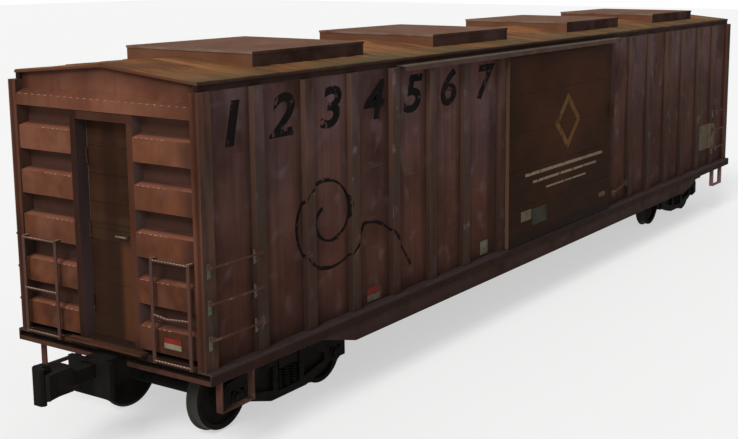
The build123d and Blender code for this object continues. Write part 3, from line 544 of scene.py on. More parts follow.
def hatch_paint():
    """Roof hatches: dusty brown lids with pale rubbed rims, redder ends and dark flanks."""
    finish = Finish("hatch_paint")
    up = finish.upward(0.4, 0.8)
    along = finish.faces(0)
    lid = finish.mix(finish.patches(1.1, 0.35, 0.65, 5.0), hatch_brown, hatch_red)
    lid = finish.lay(lid, roof_tan, finish.patches(2.6, 0.55, 0.75, 5.0, shift=(8, 1, 2)), 0.4)
    flank = finish.mix(finish.patches(2.0, 0.35, 0.65, 5.0), hatch_dark, side_dark)
    ends = finish.mix(finish.patches(1.8, 0.35, 0.65, 5.0), hatch_end_tan, hatch_end_red)
    finish.colour = finish.mix(along, flank, ends)
    rim = finish.height(hatch_top - 0.034, hatch_top - 0.024)
    rim = finish.both(rim, along)
    finish.coat(worn_pale, finish.both(rim, finish.patches(1.6, 0.34, 0.58, 5.0)), 0.7)
    finish.colour = finish.mix(up, finish.colour, lid)
    finish.coat(worn_pale, finish.edge(0.02, 3.0), 0.22)
    return finish.painted()


def door_coats(finish):
    """Dark stained door boards with long grain, darker low down and along the margins, with painted shadow
    at the foot.
    """
    grain = finish.noise(4.0, 6.0, (0.3, 0.3, 5.0))
    finish.colour = finish.mix(finish.span(grain, 0.32, 0.62), door_brown, door_red)
    finish.coat(door_dark, finish.patches(0.8, 0.36, 0.62, 4.0, shift=(2, 2, 9)), 0.8)
    finish.coat(door_dark, finish.height(2.9, 1.2), 0.6)
    margin = finish.span(finish.absolute(finish.x), 1.5, 1.78)
    margin = finish.math("MAXIMUM", margin, finish.height(1.5, 1.2))
    margin = finish.math("MAXIMUM", margin, finish.height(3.74, 3.96))
    finish.coat(door_dark, margin, 0.65)
    mottle = finish.patches(5.0, 0.5, 0.75, 6.0, (1, 1, 2), (6, 1, 4))
    finish.coat(door_mottle, mottle, 0.5)
    # Painted shadow: the door's foot is laid near black, for the gap under it.
    finish.coat(iron_black, finish.height(1.3, 1.1), 0.75)


def door_paint():
    """Sliding doors: dark stained boards, a painted highlight on the edge away from the latch, faintly
    rubbed.
    """
    finish = Finish("door_paint")
    # Painted highlight on the door's end face away from the latch.
    edge = finish.both(finish.faces(0), finish.span(finish.both(finish.x, finish.y), 2.5, 2.6))
    door_coats(finish)
    finish.coat(door_edge_highlight, edge, 0.85)
    finish.coat(rust_orange, finish.edge(0.01), 0.3)
    grain = finish.noise(4.0, 6.0, (0.3, 0.3, 5.0))
    return finish.close(finish.span(grain, 0.3, 0.7, 0.66, 0.84), grain, 0.3, 0.004)


def end_door_paint():
    """End doors: dark boards, the lower half lit on one side and shaded on the other as painted light and
    shade, with a paler middle rail.
    """
    finish = Finish("end_door_paint")
    grain = finish.noise(4.0, 6.0, (0.3, 0.3, 5.0), (3, 1, 2))
    finish.colour = finish.mix(finish.span(grain, 0.35, 0.7), end_door_brown, end_door_red)
    finish.coat(door_dark, finish.patches(1.1, 0.36, 0.62, 4.0, shift=(4, 1, 9)), 0.75)
    middle = finish.apart(finish.z, 2.42)
    rail = finish.span(middle, 0.16, 0.13)
    finish.coat(end_door_rail, rail, 0.35)
    across = finish.math("DIVIDE", finish.both(finish.x, finish.y), end_door_low.x)
    for seam_height in (3.34, 2.71, 2.47, 2.27, 1.98, 1.42):
        gap = finish.apart(finish.z, seam_height)
        seam = finish.both(finish.span(gap, 0.014, 0.004), finish.patches(5.0, 0.3, 0.5))
        finish.coat(iron_black, seam, 0.5)
    streak = finish.span(finish.apart(across, 0.05), 0.16, 0.06)
    finish.coat(door_dark, streak, 0.6)
    # Painted light and shade: one side of the lower half is laid lighter and warmer, the other darker.
    lower = finish.height(2.34, 2.2)
    lit_lower_side = finish.both(finish.span(across, -0.05, -0.13), lower)
    finish.coat(end_door_lit_warm, lit_lower_side, 0.75)
    olive = finish.both(finish.span(across, -0.1, -0.02), lower)
    finish.coat(end_door_shaded_olive, olive, 0.65)
    foot = finish.height(end_door_low.z + 0.3, end_door_low.z)
    finish.coat(end_door_dust, foot, 0.2)
    finish.coat(worn_pale, finish.edge(0.006), 0.05)
    side_rim = finish.span(across, end_door_high.y - 0.016, end_door_high.y - 0.008)
    top_rim = finish.height(end_door_high.z - 0.016, end_door_high.z - 0.008)
    rim = finish.both(finish.math("MAXIMUM", side_rim, top_rim), finish.height(2.2, 3.0))
    finish.coat(worn_pale, rim, 0.35)
    # The handle is laid pale: partly rubbed metal, partly a painted highlight.
    grip = finish.span(finish.absolute(finish.x), 8.1, 8.108)
    finish.coat(worn_pale, finish.both(grip, finish.patches(6.0, 0.35, 0.6)), 0.6)
    return finish.close(finish.span(grain, 0.3, 0.7, 0.66, 0.84), grain, 0.3, 0.004)


def track_steel():
    """Door tracks: dark brown below, grey-green bare steel along the crest."""
    finish = Finish("track_steel")
    finish.colour = finish.mix(finish.patches(2.0, 0.35, 0.65, 5.0), track_brown, track_dark)
    outer = finish.span(finish.absolute(finish.y), post_face + 0.015, post_face + 0.035)
    crest = finish.both(finish.height(wall_top + 0.006, wall_top + 0.012), outer)
    finish.coat(track_grey, finish.both(crest, finish.patches(1.5, 0.2, 0.5)), 0.9)
    finish.coat(side_red, finish.patches(3.2, 0.56, 0.72, 5.0, shift=(3, 3, 3)), 0.5)
    return finish.painted(0.3, 0.006)


def grab_steel():
    """Grab irons and steps: dark red-brown paint, rubbed in places, and faded on the steps of end B."""
    finish = Finish("grab_steel")
    finish.colour = finish.mix(finish.patches(2.5, 0.35, 0.65, 5.0), grab_red, grab_brown)
    finish.coat(worn_pale, finish.patches(4.0, 0.6, 0.72, 5.0, shift=(6, 2, 4)), 0.4)
    faded = finish.both(finish.span(finish.x, 6.5, 7.0), finish.height(1.0, 0.95))
    finish.coat(step_fade, faded, 0.8)
    return finish.close(finish.paint_roughness(), finish.noise(40.0, 4.0), 0.2, 0.002)


def rung_steel():
    """Ladders: brown paint with rows of painted highlights along the tops of the rungs."""
    finish = Finish("rung_steel")
    worn = finish.upward(0.25, 0.8)
    wave = {"Vector": finish.place, "Scale": 7.0, "Distortion": 1.2, "Detail": 2.0}
    ribs = finish.node("ShaderNodeTexWave", wave, bands_direction="Y").outputs["Fac"]
    dashes = finish.span(ribs, 0.4, 0.8, 0.2, 1.0)
    patches = finish.patches(2.2, 0.3, 0.55, 4.0)
    finish.colour = finish.mix(finish.patches(2.5, 0.35, 0.65, 5.0), ladder_brown, ladder_dark)
    # Painted highlight: dashes along the upward faces of the rungs are laid bright.
    bright = finish.both(finish.both(worn, dashes), patches)
    finish.coat(rung_highlight, bright, 0.85)
    roughness = finish.span(bright, 0.0, 1.0, 0.75, 0.45)
    return finish.close(roughness, ribs, 0.3, 0.003, 0.2)


def black_iron():
    """Castings under the car: near black, with brake dust on upper faces and in patches."""
    finish = Finish("black_iron")
    settled = finish.upward(0.1, 0.9, 0.25, 0.8)
    dust = finish.both(settled, finish.patches(3.0, 0.35, 0.65, 5.0))
    finish.colour = finish.mix(dust, iron_black, iron_dust)
    rust = finish.patches(5.0, 0.58, 0.75, 5.0, shift=(2, 7, 1))
    finish.coat(grime_and_shade, rust, 0.5)
    finish.coat(iron_dust, finish.edge(0.006), 0.6)
    roughness = finish.span(finish.noise(8.0, 5.0), 0.3, 0.7, 0.62, 0.85)
    return finish.close(roughness, finish.noise(38.0, 5.0), 0.35, 0.003)


def wheel_steel(axle_x):
    """Wheels and axles: dark plates and a paler rolled tread, measured from the axle's centre."""
    finish = Finish("wheel_steel")
    centre = (-axle_x, 0.0, -axle_height)
    turned = finish.node("ShaderNodeMapping", {"Vector": finish.place, "Location": centre})
    parts = finish.node("ShaderNodeSeparateXYZ", {"Vector": turned.outputs[0]})
    radial = finish.node("ShaderNodeCombineXYZ", {"X": parts.outputs[0], "Z": parts.outputs[2]})
    length = finish.node("ShaderNodeVectorMath", {0: radial.outputs[0]}, operation="LENGTH")
    tread = finish.span(length.outputs["Value"], tread_radius - 0.006, tread_radius - 0.002)
    dust = finish.patches(4.0, 0.35, 0.65, 5.0)
    finish.colour = finish.lay(iron_black, iron_dust, dust, 0.6)
    finish.coat(grime_and_shade, finish.patches(2.0, 0.5, 0.7, 5.0, shift=(5, 2, 2)), 0.6)
    finish.coat(tread_grey, tread, 0.9)
    roughness = finish.span(tread, 0.0, 1.0, 0.75, 0.5)
    return finish.close(roughness, finish.noise(30.0, 5.0), 0.25, 0.002)


def deck_wood():
    """Floor planks laid across the car, scuffed and oily."""
    finish = Finish("deck_wood")
    wave = {"Vector": finish.place, "Scale": 1.6, "Distortion": 0.0}
    planks = finish.node("ShaderNodeTexWave", wave, bands_direction="X", wave_profile="SAW")
    seam = finish.span(planks.outputs["Fac"], 0.0, 0.06, 1.0, 0.0)
    grain = finish.noise(5.0, 5.0, stretch=(6.0, 0.3, 1.0))
    finish.colour = finish.mix(finish.span(grain, 0.35, 0.7), deck_brown, end_recess)
    finish.colour = finish.mix(seam, finish.colour, iron_black)
    roughness = finish.span(grain, 0.3, 0.7, 0.7, 0.92)
    height = finish.math("SUBTRACT", grain, finish.math("MULTIPLY", seam, 1.5))
    return finish.close(roughness, height, 0.4, 0.005)


def worn_paint(name, paint, under_coats):
    """Old paint, chipped down to the finish under it."""
    finish = Finish(name)
    chips = finish.span(finish.noise(7.0, 8.0, shift=(1, 4, 2), roughness=0.7), 0.56, 0.62)
    wear = finish.patches(1.4, 0.45, 0.7, 3.0, shift=(9, 1, 1))
    top = finish.lay(paint, grime_and_shade, wear, 0.3)
    under_coats(finish)
    finish.colour = finish.mix(chips, top, finish.colour)
    return finish.painted()


def plate_paint(name, base, worn):
    """A blank plate: flat paint, worn in patches, with grimy edges."""
    finish = Finish(name)
    finish.colour = finish.lay(base, worn, finish.patches(9.0, 0.4, 0.7, 5.0), 0.7)
    finish.coat(grime_and_shade, finish.edge(0.006, 20.0), 0.6)
    roughness = finish.span(finish.noise(12.0, 4.0), 0.3, 0.7, 0.5, 0.75)
    return finish.close(roughness, finish.noise(60.0, 3.0), 0.15, 0.001)


def paint_frame():
    """Gives every node of the frame its finish."""
    side = side_paint()
    end = end_paint()
    sill = sill_paint()
    iron = black_iron()
    rung = rung_steel()
    grab = grab_steel()
    door = door_paint()
    end_door = end_door_paint()
    track = track_steel()
    finishes = {
        "floor_deck": deck_wood(),
        "roof_deck": roof_edge_paint(),
        "roof_hatches": hatch_paint(),
        "corner_posts": corner_paint(),
        "end_ladders": rung,
        "grab_irons": grab,
        "end_beams": gable_paint(),
        "end_door_frames": frame_paint(),
        "end_sills": end_sill_paint(),
        "step_stirrups": grab,
        "end_wall_a": end,
        "end_wall_b": end,
    }
    for name in ("wall_near_a", "wall_near_b", "wall_far_a", "wall_far_b"):
        finishes[name] = side
    for name in ("near", "far"):
        finishes[f"side_sill_{name}"] = sill
        finishes[f"eave_chord_{name}"] = sill
        finishes[f"side_door_{name}"] = door
        finishes[f"door_track_{name}"] = track
    for name in ("end_door_a", "end_door_b"):
        finishes[name] = end_door
    for number in ("a1", "a2", "b1", "b2"):
        low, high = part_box(f"axle_{number}")
        steel = wheel_steel((low.x + high.x) / 2)
        finishes[f"axle_{number}"] = steel
        finishes[f"wheels_{number}"] = steel
    for name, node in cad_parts.items():
        node.data.materials.clear()
        node.data.materials.append(finishes.get(name, iron))
    return {"grab": grab, "iron": iron}


def keep_mesh(name, mesh, body, material=None):
    """Links a finished mesh as a piece that rides on a body."""
    piece = bpy.data.objects.new(name, mesh)
    bpy.context.scene.collection.objects.link(piece)
    if material is not None:
        mesh.materials.clear()
        mesh.materials.append(material)
    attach(piece, body)
    return piece


def plain_mesh(holder):
    """Evaluates an object, removes it and gives the result as a plain mesh."""
    bpy.context.scene.collection.objects.link(holder)
    graph = bpy.context.evaluated_depsgraph_get()
    mesh = bpy.data.meshes.new_from_object(holder.evaluated_get(graph))
    bpy.data.objects.remove(holder)
    return mesh


class NodeTree(Nodes):
    """A geometry node tree with named inputs."""

    def __init__(self, name, sizes):
        super().__init__(bpy.data.node_groups.new(name, "GeometryNodeTree"))
        interface = self.tree.interface
        interface.new_socket("Geometry", in_out="INPUT", socket_type="NodeSocketGeometry")
        self.names = {}
        for key in sizes:
            socket = interface.new_socket(key, in_out="INPUT", socket_type="NodeSocketFloat")
            self.names[key] = socket.identifier
        interface.new_socket("Geometry", in_out="OUTPUT", socket_type="NodeSocketGeometry")
        self.sizes = sizes
        self.entry = self.node("NodeGroupInput", {})
        self.exit = self.node("NodeGroupOutput", {})

    def size(self, key):
        return self.entry.outputs[key]

    def close(self, geometry, material):
        """Realizes the instances and sets their material."""
        real = self.node("GeometryNodeRealizeInstances", {0: geometry})
        painted = self.node("GeometryNodeSetMaterial", {0: real.outputs[0], "Material": material})
        self.fill(self.exit, {0: painted.outputs[0]})

    def grow(self, name, carrier):
        """Runs the tree on a carrier mesh and gives the result as a plain mesh."""
        holder = bpy.data.objects.new(name, carrier)
        modifier = holder.modifiers.new(name, "NODES")
        modifier.node_group = self.tree
        for key, value in self.sizes.items():
            modifier[self.names[key]] = value
        mesh = plain_mesh(holder)
        mesh.name = name
        return mesh


def stud_carrier(name, studs):
    """Points that carry studs; each stud is (place, turn, size)."""
    mesh = bpy.data.meshes.new(name)
    mesh.from_pydata([stud[0] for stud in studs], [], [])
    turn = mesh.attributes.new("turn", "FLOAT_VECTOR", "POINT")
    size = mesh.attributes.new("size", "FLOAT_VECTOR", "POINT")
    for index, stud in enumerate(studs):
        turn.data[index].vector = stud[1]
        size.data[index].vector = stud[2]
    return mesh


def stud_tree(name, material, sides):
    """Rounded beads, or bolt heads of a few sides, set on the carrier's points."""
    tree = NodeTree(name, {"Stud radius": 1.0, "Stud height": 1.0})
    if sides > 6:
        stud = tree.node(
            "GeometryNodeMeshUVSphere", {"Segments": sides, "Rings": 5, "Radius": tree.size("Stud radius")}
        )
    else:
        stud = tree.node(
            "GeometryNodeMeshCylinder",
            {"Vertices": sides, "Radius": tree.size("Stud radius"), "Depth": tree.size("Stud height")},
        )
    turn = tree.node("GeometryNodeInputNamedAttribute", {"Name": "turn"}, data_type="FLOAT_VECTOR")
    size = tree.node("GeometryNodeInputNamedAttribute", {"Name": "size"}, data_type="FLOAT_VECTOR")
    rotation = tree.node("FunctionNodeEulerToRotation", {0: turn.outputs[0]})
    placed = tree.node(
        "GeometryNodeInstanceOnPoints",
        {"Points": tree.entry.outputs[0], "Instance": stud.outputs[0], "Rotation": rotation.outputs[0],
         "Scale": size.outputs[0]},
    )
    tree.close(placed.outputs[0], material)
    return tree


def keep_studs(name, studs, sides, material, body):
    """Grows studs of so many sides into one piece that rides on a body."""
    tree = stud_tree(f"{name}_tree", material, sides)
    keep_mesh(name, tree.grow(name, stud_carrier(f"{name}_points", studs)), body)


def steps(start, end, pitch):
    """Evenly spaced values from start to end, about pitch apart."""
    count = max(1, round(abs(end - start) / pitch))
    return [start + (end - start) * index / count for index in range(count + 1)]


def islands(name):
    """Boxes of a node's separate solids, as (low, high), in the order of their low corners."""
    build = bmesh.new()
    build.from_mesh(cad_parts[name].data)
    bmesh.ops.remove_doubles(build, verts=build.verts, dist=0.0001)
    boxes = []
    left = set(build.verts)
    while left:
        grown = [left.pop()]
        for vert in grown:
            for edge in vert.link_edges:
                other = edge.other_vert(vert)
                if other in left:
                    left.remove(other)
                    grown.append(other)
        low = Vector(min(vert.co[axis] for vert in grown) for axis in range(3))
        high = Vector(max(vert.co[axis] for vert in grown) for axis in range(3))
        boxes.append((low, high))
    build.free()
    return sorted(boxes, key=lambda box: tuple(box[0]))


def ray_target(names):
    """Surface of some nodes, to lay paint and plates on."""
    build = bmesh.new()
    for name in names:
        build.from_mesh(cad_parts[name].data)
    surface = BVHTree.FromBMesh(build)
    build.free()
    return surface


def outer_face(surface, side, x, z):
    """Where a ray from outside meets the surface, as a y value."""
    hit = surface.ray_cast(Vector((x, side * 3.0, z)), Vector((0, -side, 0)))
    return hit[0].y


def add_block(build, low, high, bevel=0.003):
    """A box with softened edges in a bmesh."""
    made = bmesh.ops.create_cube(build, size=1.0)
    corners = made["verts"]
    size = Vector(high) - Vector(low)
    middle = (Vector(high) + Vector(low)) / 2
    bmesh.ops.scale(build, vec=size, verts=corners)
    bmesh.ops.translate(build, vec=middle, verts=corners)
    edges = list({edge for corner in corners for edge in corner.link_edges})
    width = min(bevel, min(size) / 3)
    bmesh.ops.bevel(build, geom=edges, offset=width, segments=2, affect="EDGES", profile=0.5)


def keep_build(name, build, body, material):
    """Closes a bmesh as a piece that rides on a body."""
    bmesh.ops.recalc_face_normals(build, faces=build.faces)
    mesh = bpy.data.meshes.new(name)
    build.to_mesh(mesh)
    build.free()
    keep_mesh(name, mesh, body, material)


def post_places():
    """Edges of the faces of the near wall's posts, as (start, end) along the car, for both sections."""
    pairs = []
    for name in ("wall_near_a", "wall_near_b"):
        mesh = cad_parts[name].data
        front = wall_low.y + 0.001
        edges = sorted({round(vertex.co.x, 4) for vertex in mesh.vertices if vertex.co.y < front})
        pairs += list(zip(edges[0::2], edges[1::2]))
    return sorted(pairs)


def grab_feet(material):
    """Worn foot plates under the ends of the side grab irons, each with two bolts."""
    inset = 0.025
    half_width = 0.026
    foot_drop = 0.13
    foot_rise = 0.03
    build = bmesh.new()
    studs = []
    for side, name in ((-1, "near"), (1, "far")):
        surface = ray_target((f"wall_{name}_a", f"wall_{name}_b", "corner_posts"))
        for low, high in islands("grab_irons"):
            if low.y * side < 0:
                continue
            middle = (low.z + high.z) / 2
            for x in (low.x + inset, high.x - inset):
                back = outer_face(surface, side, x, middle)
                front = back + side * plate_thickness
                ys = sorted((back, front))
                corner = (x - half_width, ys[0], middle - foot_drop)
                add_block(build, corner, (x + half_width, ys[1], middle + foot_rise), plate_edge)
                for drop in (0.05, 0.1):
                    studs.append(((x, front, middle - drop), facing_side, bolt_size))
    keep_build("grab_feet", build, "car_body", material)
    keep_studs("grab_bolts", studs, 6, material, "car_body")


def end_rib_edges():
    """Heights of the upper front edges of the end ribs."""
    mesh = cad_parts["end_wall_a"].data
    front = -rib_face + 0.001
    heights = sorted({round(vertex.co.z, 4) for vertex in mesh.vertices if vertex.co.x < front})
    return heights[1::2]


def weld_steel():
    """Pale stitch welds, partly bare metal and partly a painted highlight, dulled in places."""
    finish = Finish("weld_steel")
    finish.colour = finish.mix(finish.patches(14.0, 0.35, 0.65), weld_metal_and_highlight, rust_orange)
    roughness = finish.span(finish.noise(20.0, 4.0), 0.3, 0.7, 0.4, 0.65)
    return finish.close(roughness, finish.noise(120.0, 3.0), 0.4, 0.002, 0.3)


def end_welds(material):
    """Stitch welds along the upper edges of the end beam and ribs."""
    beam_edge = beam_bottom + 0.129
    beam_half_width = 1.27
    studs = []
    for end in (-1, 1):
        for y in steps(-beam_half_width, beam_half_width, 0.105):
            studs.append(((end * (body_end - 0.006), y, beam_edge), facing_up, weld_size))
        for rib_edge in end_rib_edges():
            for side in (-1, 1):
                for y in steps(side * 0.54, side * 0.92, 0.075):
                    studs.append(((end * rib_face, y, rib_edge - 0.002), facing_up, weld_size))
    keep_studs("end_welds", studs, 8, material, "car_body")


def foot_boards(material):
    """Two boards on each end sill in front of the end door, side by side."""
    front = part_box("end_door_frames")[1].x
    half_length = 0.6
    bottom = end_sill_high.z
    build = bmesh.new()
    for end in (-1, 1):
        for index in range(2):
            near = front + index * (foot_board_width + 0.004)
            xs = sorted((end * near, end * (near + foot_board_width)))
            add_block(build, (xs[0], -half_length, bottom), (xs[1], half_length, bottom + 0.026), 0.004)
    keep_build("foot_boards", build, "car_body", material)


def roof_boards(material):
    """Boards laid down both slopes of the roof, each a little higher or lower than the next."""
    half_width = -roof_low.y
    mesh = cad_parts["roof_deck"].data
    eave = min(vertex.co.z for vertex in mesh.vertices if vertex.co.z > roof_low.z + 0.02)
    rise = roof_high.z - eave
    sizes = {
        "Board pitch": roof_board_pitch,
        "Board width": roof_board_pitch - 0.008,
        "Board length": math.hypot(rise, half_width) - 0.02,
        "Board thickness": 0.02,
        "Board count": roof_board_count,
        "First board": -(roof_board_count - 1) * roof_board_pitch / 2,
        "Lift": 0.004,
        "Slope": math.atan2(rise, half_width),
        "Seed": 7,
    }
    tree = NodeTree("boards_on_roof", sizes)
    offset = tree.node("ShaderNodeCombineXYZ", {"X": tree.size("Board pitch")})
    start = tree.node("ShaderNodeCombineXYZ", {"X": tree.size("First board")})
    line = tree.node(
        "GeometryNodeMeshLine",
        {"Count": tree.size("Board count"), "Start Location": start.outputs[0], "Offset": offset.outputs[0]},
    )
    size = tree.node(
        "ShaderNodeCombineXYZ",
        {"X": tree.size("Board width"), "Y": tree.size("Board length"), "Z": tree.size("Board thickness")},
    )
    board = tree.node("GeometryNodeMeshCube", {"Size": size.outputs[0]})
    low = tree.node("ShaderNodeMath", {0: tree.size("Lift"), 1: -1.0}, operation="MULTIPLY")
    lift = tree.node(
        "FunctionNodeRandomValue",
        {"Min": low.outputs[0], "Max": tree.size("Lift"), "Seed": tree.size("Seed")},
        data_type="FLOAT",
    )
    lift_out = next(output for output in lift.outputs if output.enabled)
    raised = tree.node("ShaderNodeCombineXYZ", {"Z": lift_out})
    points = tree.node("GeometryNodeSetPosition", {"Geometry": line.outputs[0], "Offset": raised.outputs[0]})
    boards = tree.node(
        "GeometryNodeInstanceOnPoints", {"Points": points.outputs[0], "Instance": board.outputs[0]}
    )
    both = tree.node("GeometryNodeJoinGeometry", {})
    for side in (-1, 1):
        tilt = tree.node("ShaderNodeMath", {0: tree.size("Slope"), 1: -side}, operation="MULTIPLY")
        turn = tree.node("ShaderNodeCombineXYZ", {"X": tilt.outputs[0]})
        rotation = tree.node("FunctionNodeEulerToRotation", {0: turn.outputs[0]})
        moved = tree.node(
            "GeometryNodeTransform",
            {"Geometry": boards.outputs[0], "Translation": (0, side * half_width / 2, eave + rise / 2),
             "Rotation": rotation.outputs[0]},
        )
        tree.fill(both, {0: moved.outputs[0]})
    tree.close(both.outputs[0], material)
    mesh = tree.grow("roof_boards", bpy.data.meshes.new("roof_board_seed"))
    keep_mesh("roof_boards", mesh, "car_body")


def spring_coils(truck, material):
    """Nested wound coils that take the place of the truck's plain springs."""
    node = f"truck_{truck}_springs"
    low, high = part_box(node)
    sizes = {
        "Coil radius": coil_radius - coil_wire,
        "Inner radius": 0.4 * coil_radius,
        "Coil height": high.z - low.z - 2 * coil_wire,
        "Wire radius": coil_wire,
        "Turns": 7.0,
    }
    tree = NodeTree(f"coils_{truck}", sizes)
    ring = tree.node(
        "GeometryNodeCurvePrimitiveCircle", {"Resolution": 8, "Radius": tree.size("Wire radius")}
    )
    nest = tree.node("GeometryNodeJoinGeometry", {})
    for key in ("Coil radius", "Inner radius"):
        helix = tree.node(
            "GeometryNodeCurveSpiral",
            {"Resolution": 20, "Rotations": tree.size("Turns"), "Start Radius": tree.size(key),
             "End Radius": tree.size(key), "Height": tree.size("Coil height")},
        )
        coil = tree.node(
            "GeometryNodeCurveToMesh", {0: helix.outputs[0], 1: ring.outputs[0], "Fill Caps": True}
        )
        tree.fill(nest, {0: coil.outputs[0]})
    placed = tree.node(
        "GeometryNodeInstanceOnPoints", {"Points": tree.entry.outputs[0], "Instance": nest.outputs[0]}
    )
    tree.close(placed.outputs[0], material)
    middle_x = (low.x + high.x) / 2
    pitch = (high.x - low.x) / 2 - coil_radius
    row_y = high.y - coil_radius
    carrier = bpy.data.meshes.new(f"coil_points_{truck}")
    points = [
        (middle_x + step * pitch, side * row_y, low.z + coil_wire) for side in (-1, 1) for step in (-1, 0, 1)
    ]
    carrier.from_pydata(points, [], [])
    mesh = tree.grow(f"spring_coils_{truck}", carrier)
    piece = keep_mesh(f"spring_coils_{truck}", mesh, f"truck_{truck}")
    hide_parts(node)


def truck_bolts(truck, material):
    """Bolt heads on the side frames' columns and jaws."""
    low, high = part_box(f"truck_{truck}_side_frames")
    middle = (low.x + high.x) / 2
    column_reach = 0.247
    column_bolts = [(column_reach, rise) for rise in (0.17, 0.09, 0.01)]
    jaw_bolts = [(reach, 0.13) for reach in (1.07, 0.755)]
    studs = []
    for side in (-1, 1):
        for step in (-1, 1):
            for reach, rise in column_bolts + jaw_bolts:
                place = (middle + step * reach, side * high.y, axle_height + rise)
                studs.append((place, facing_side, bolt_size))
    keep_studs(f"truck_bolts_{truck}", studs, 6, material, f"truck_{truck}")


def axle_bolts(number, material):
    """Three cap bolts on each end of an axle."""
    low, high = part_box(f"axle_{number}")
    middle = (low.x + high.x) / 2
    ring = 0.04
    bolt_count = 3
    studs = []
    for face in (low.y, high.y):
        for index in range(bolt_count):
            angle = 2 * math.pi * index / bolt_count
            place = (middle + ring * math.sin(angle), face, axle_height + ring * math.cos(angle))
            studs.append((place, facing_side, bolt_size))
    keep_studs(f"axle_bolts_{number}", studs, 6, material, f"wheelset_{number}")


def blank_plate(name, low, high, body, material):
    """A blank rectangular plate with softened edges."""
    build = bmesh.new()
    add_block(build, low, high, plate_edge)
    keep_build(name, build, body, material)


def post_slope_poster(material):
    """The strip of the poster on the sloped flank of its post."""
    foot = post_places()[-1][0] - post_slope_run
    build = bmesh.new()
    low = (foot - plate_thickness, -post_face, poster_bottom)
    add_block(build, low, (foot, -panel_face, poster_top), plate_edge)
    for vertex in build.verts:
        vertex.co.x += post_slope_run * (-vertex.co.y - panel_face) / post_depth
    keep_build("slope_poster", build, "car_body", material)


def plates():
    """Blank plates and cards on the near side, the door and the near end."""
    beige = plate_paint("beige_plate", srgb(92, 84, 68), srgb(66, 56, 46))
    green = plate_paint("green_plate", srgb(51, 51, 43), srgb(37, 33, 28))
    yellow = plate_paint("yellow_plate", srgb(86, 67, 45), srgb(66, 50, 38))
    card = plate_paint("pale_card", srgb(101, 99, 87), srgb(76, 68, 59))
    red = plate_paint("red_patch", srgb(122, 39, 31), srgb(82, 36, 30))
    white = plate_paint("white_patch", srgb(124, 119, 97), srgb(86, 78, 65))
    dusty_red = plate_paint("dusty_red_patch", srgb(104, 40, 36), srgb(70, 36, 31))
    dusty_white = plate_paint("dusty_white_patch", srgb(92, 87, 71), srgb(68, 60, 50))
    poster = plate_paint("faded_poster", srgb(87, 76, 61), srgb(70, 55, 46))
    door_plates = (
        ("door_plate_beige", -1.43, -1.10, 1.43, 1.59, beige),
        ("door_plate_green", -1.07, -0.585, 1.32, 1.58, green),
        ("door_plate_yellow", 1.39, 1.64, 1.35, 1.43, yellow),
    )
    for name, x0, x1, z0, z1, material in door_plates:
        low = (x0, -door_face - plate_thickness, z0)
        blank_plate(name, low, (x1, -door_face, z1), "side_door_near", material)
    wall_plates = (
        ("panel_card", -2.45, -2.24, 1.12, 1.32, card),
        ("side_patch_red", -5.27, -4.99, 1.188, 1.282, dusty_red),
        ("side_patch_white", -5.27, -4.99, 1.105, 1.188, dusty_white),
        ("far_bay_poster", 6.56, 7.2, poster_bottom, poster_top, poster),
        ("corner_bay_poster", 7.44, 7.62, 1.46, 1.9, poster),
    )
    for name, x0, x1, z0, z1, material in wall_plates:
        low = (x0, -panel_face - plate_thickness, z0)
        blank_plate(name, low, (x1, -panel_face, z1), "car_body", material)
    low = (7.24, -post_face - plate_thickness, poster_bottom)
    blank_plate("post_poster", low, (7.38, -post_face, poster_top), "car_body", poster)
    post_slope_poster(poster)
    end_patches = (("end_patch_red", 1.31, 1.37, red), ("end_patch_white", 1.25, 1.31, white))
    for name, z0, z1, material in end_patches:
        low = (-rib_face - plate_thickness, -1.09, z0)
        blank_plate(name, low, (-rib_face, -0.84, z1), "car_body", material)


def bay_numerals(material):
    """Plain stencil numerals, one in each bay between the near end and the door."""
    posts = [pair for pair in post_places() if pair[1] < 0]
    edges = [wall_low.x] + [value for pair in posts for value in pair]
    bays = list(zip(edges[0::2], edges[1::2]))
    build = bmesh.new()
    for index, (start, end) in enumerate(bays):
        curve = bpy.data.curves.new(f"numeral_{index + 1}", "FONT")
        curve.body = str(index + 1)
        curve.size = numeral_size
        curve.shear = 0.18
        curve.offset = 0.018
        curve.align_x = "CENTER"
        mesh = plain_mesh(bpy.data.objects.new(curve.name, curve))
        place = Matrix.Translation(((start + end) / 2, -panel_face - paint_lift, numeral_foot))
        wide = Matrix.Diagonal((1.3, 1.0, 1.0, 1.0))
        mesh.transform(place @ Matrix.Rotation(quarter, 4, "X") @ wide)
        build.from_mesh(mesh)
    keep_build("bay_numerals", build, "car_body", material)


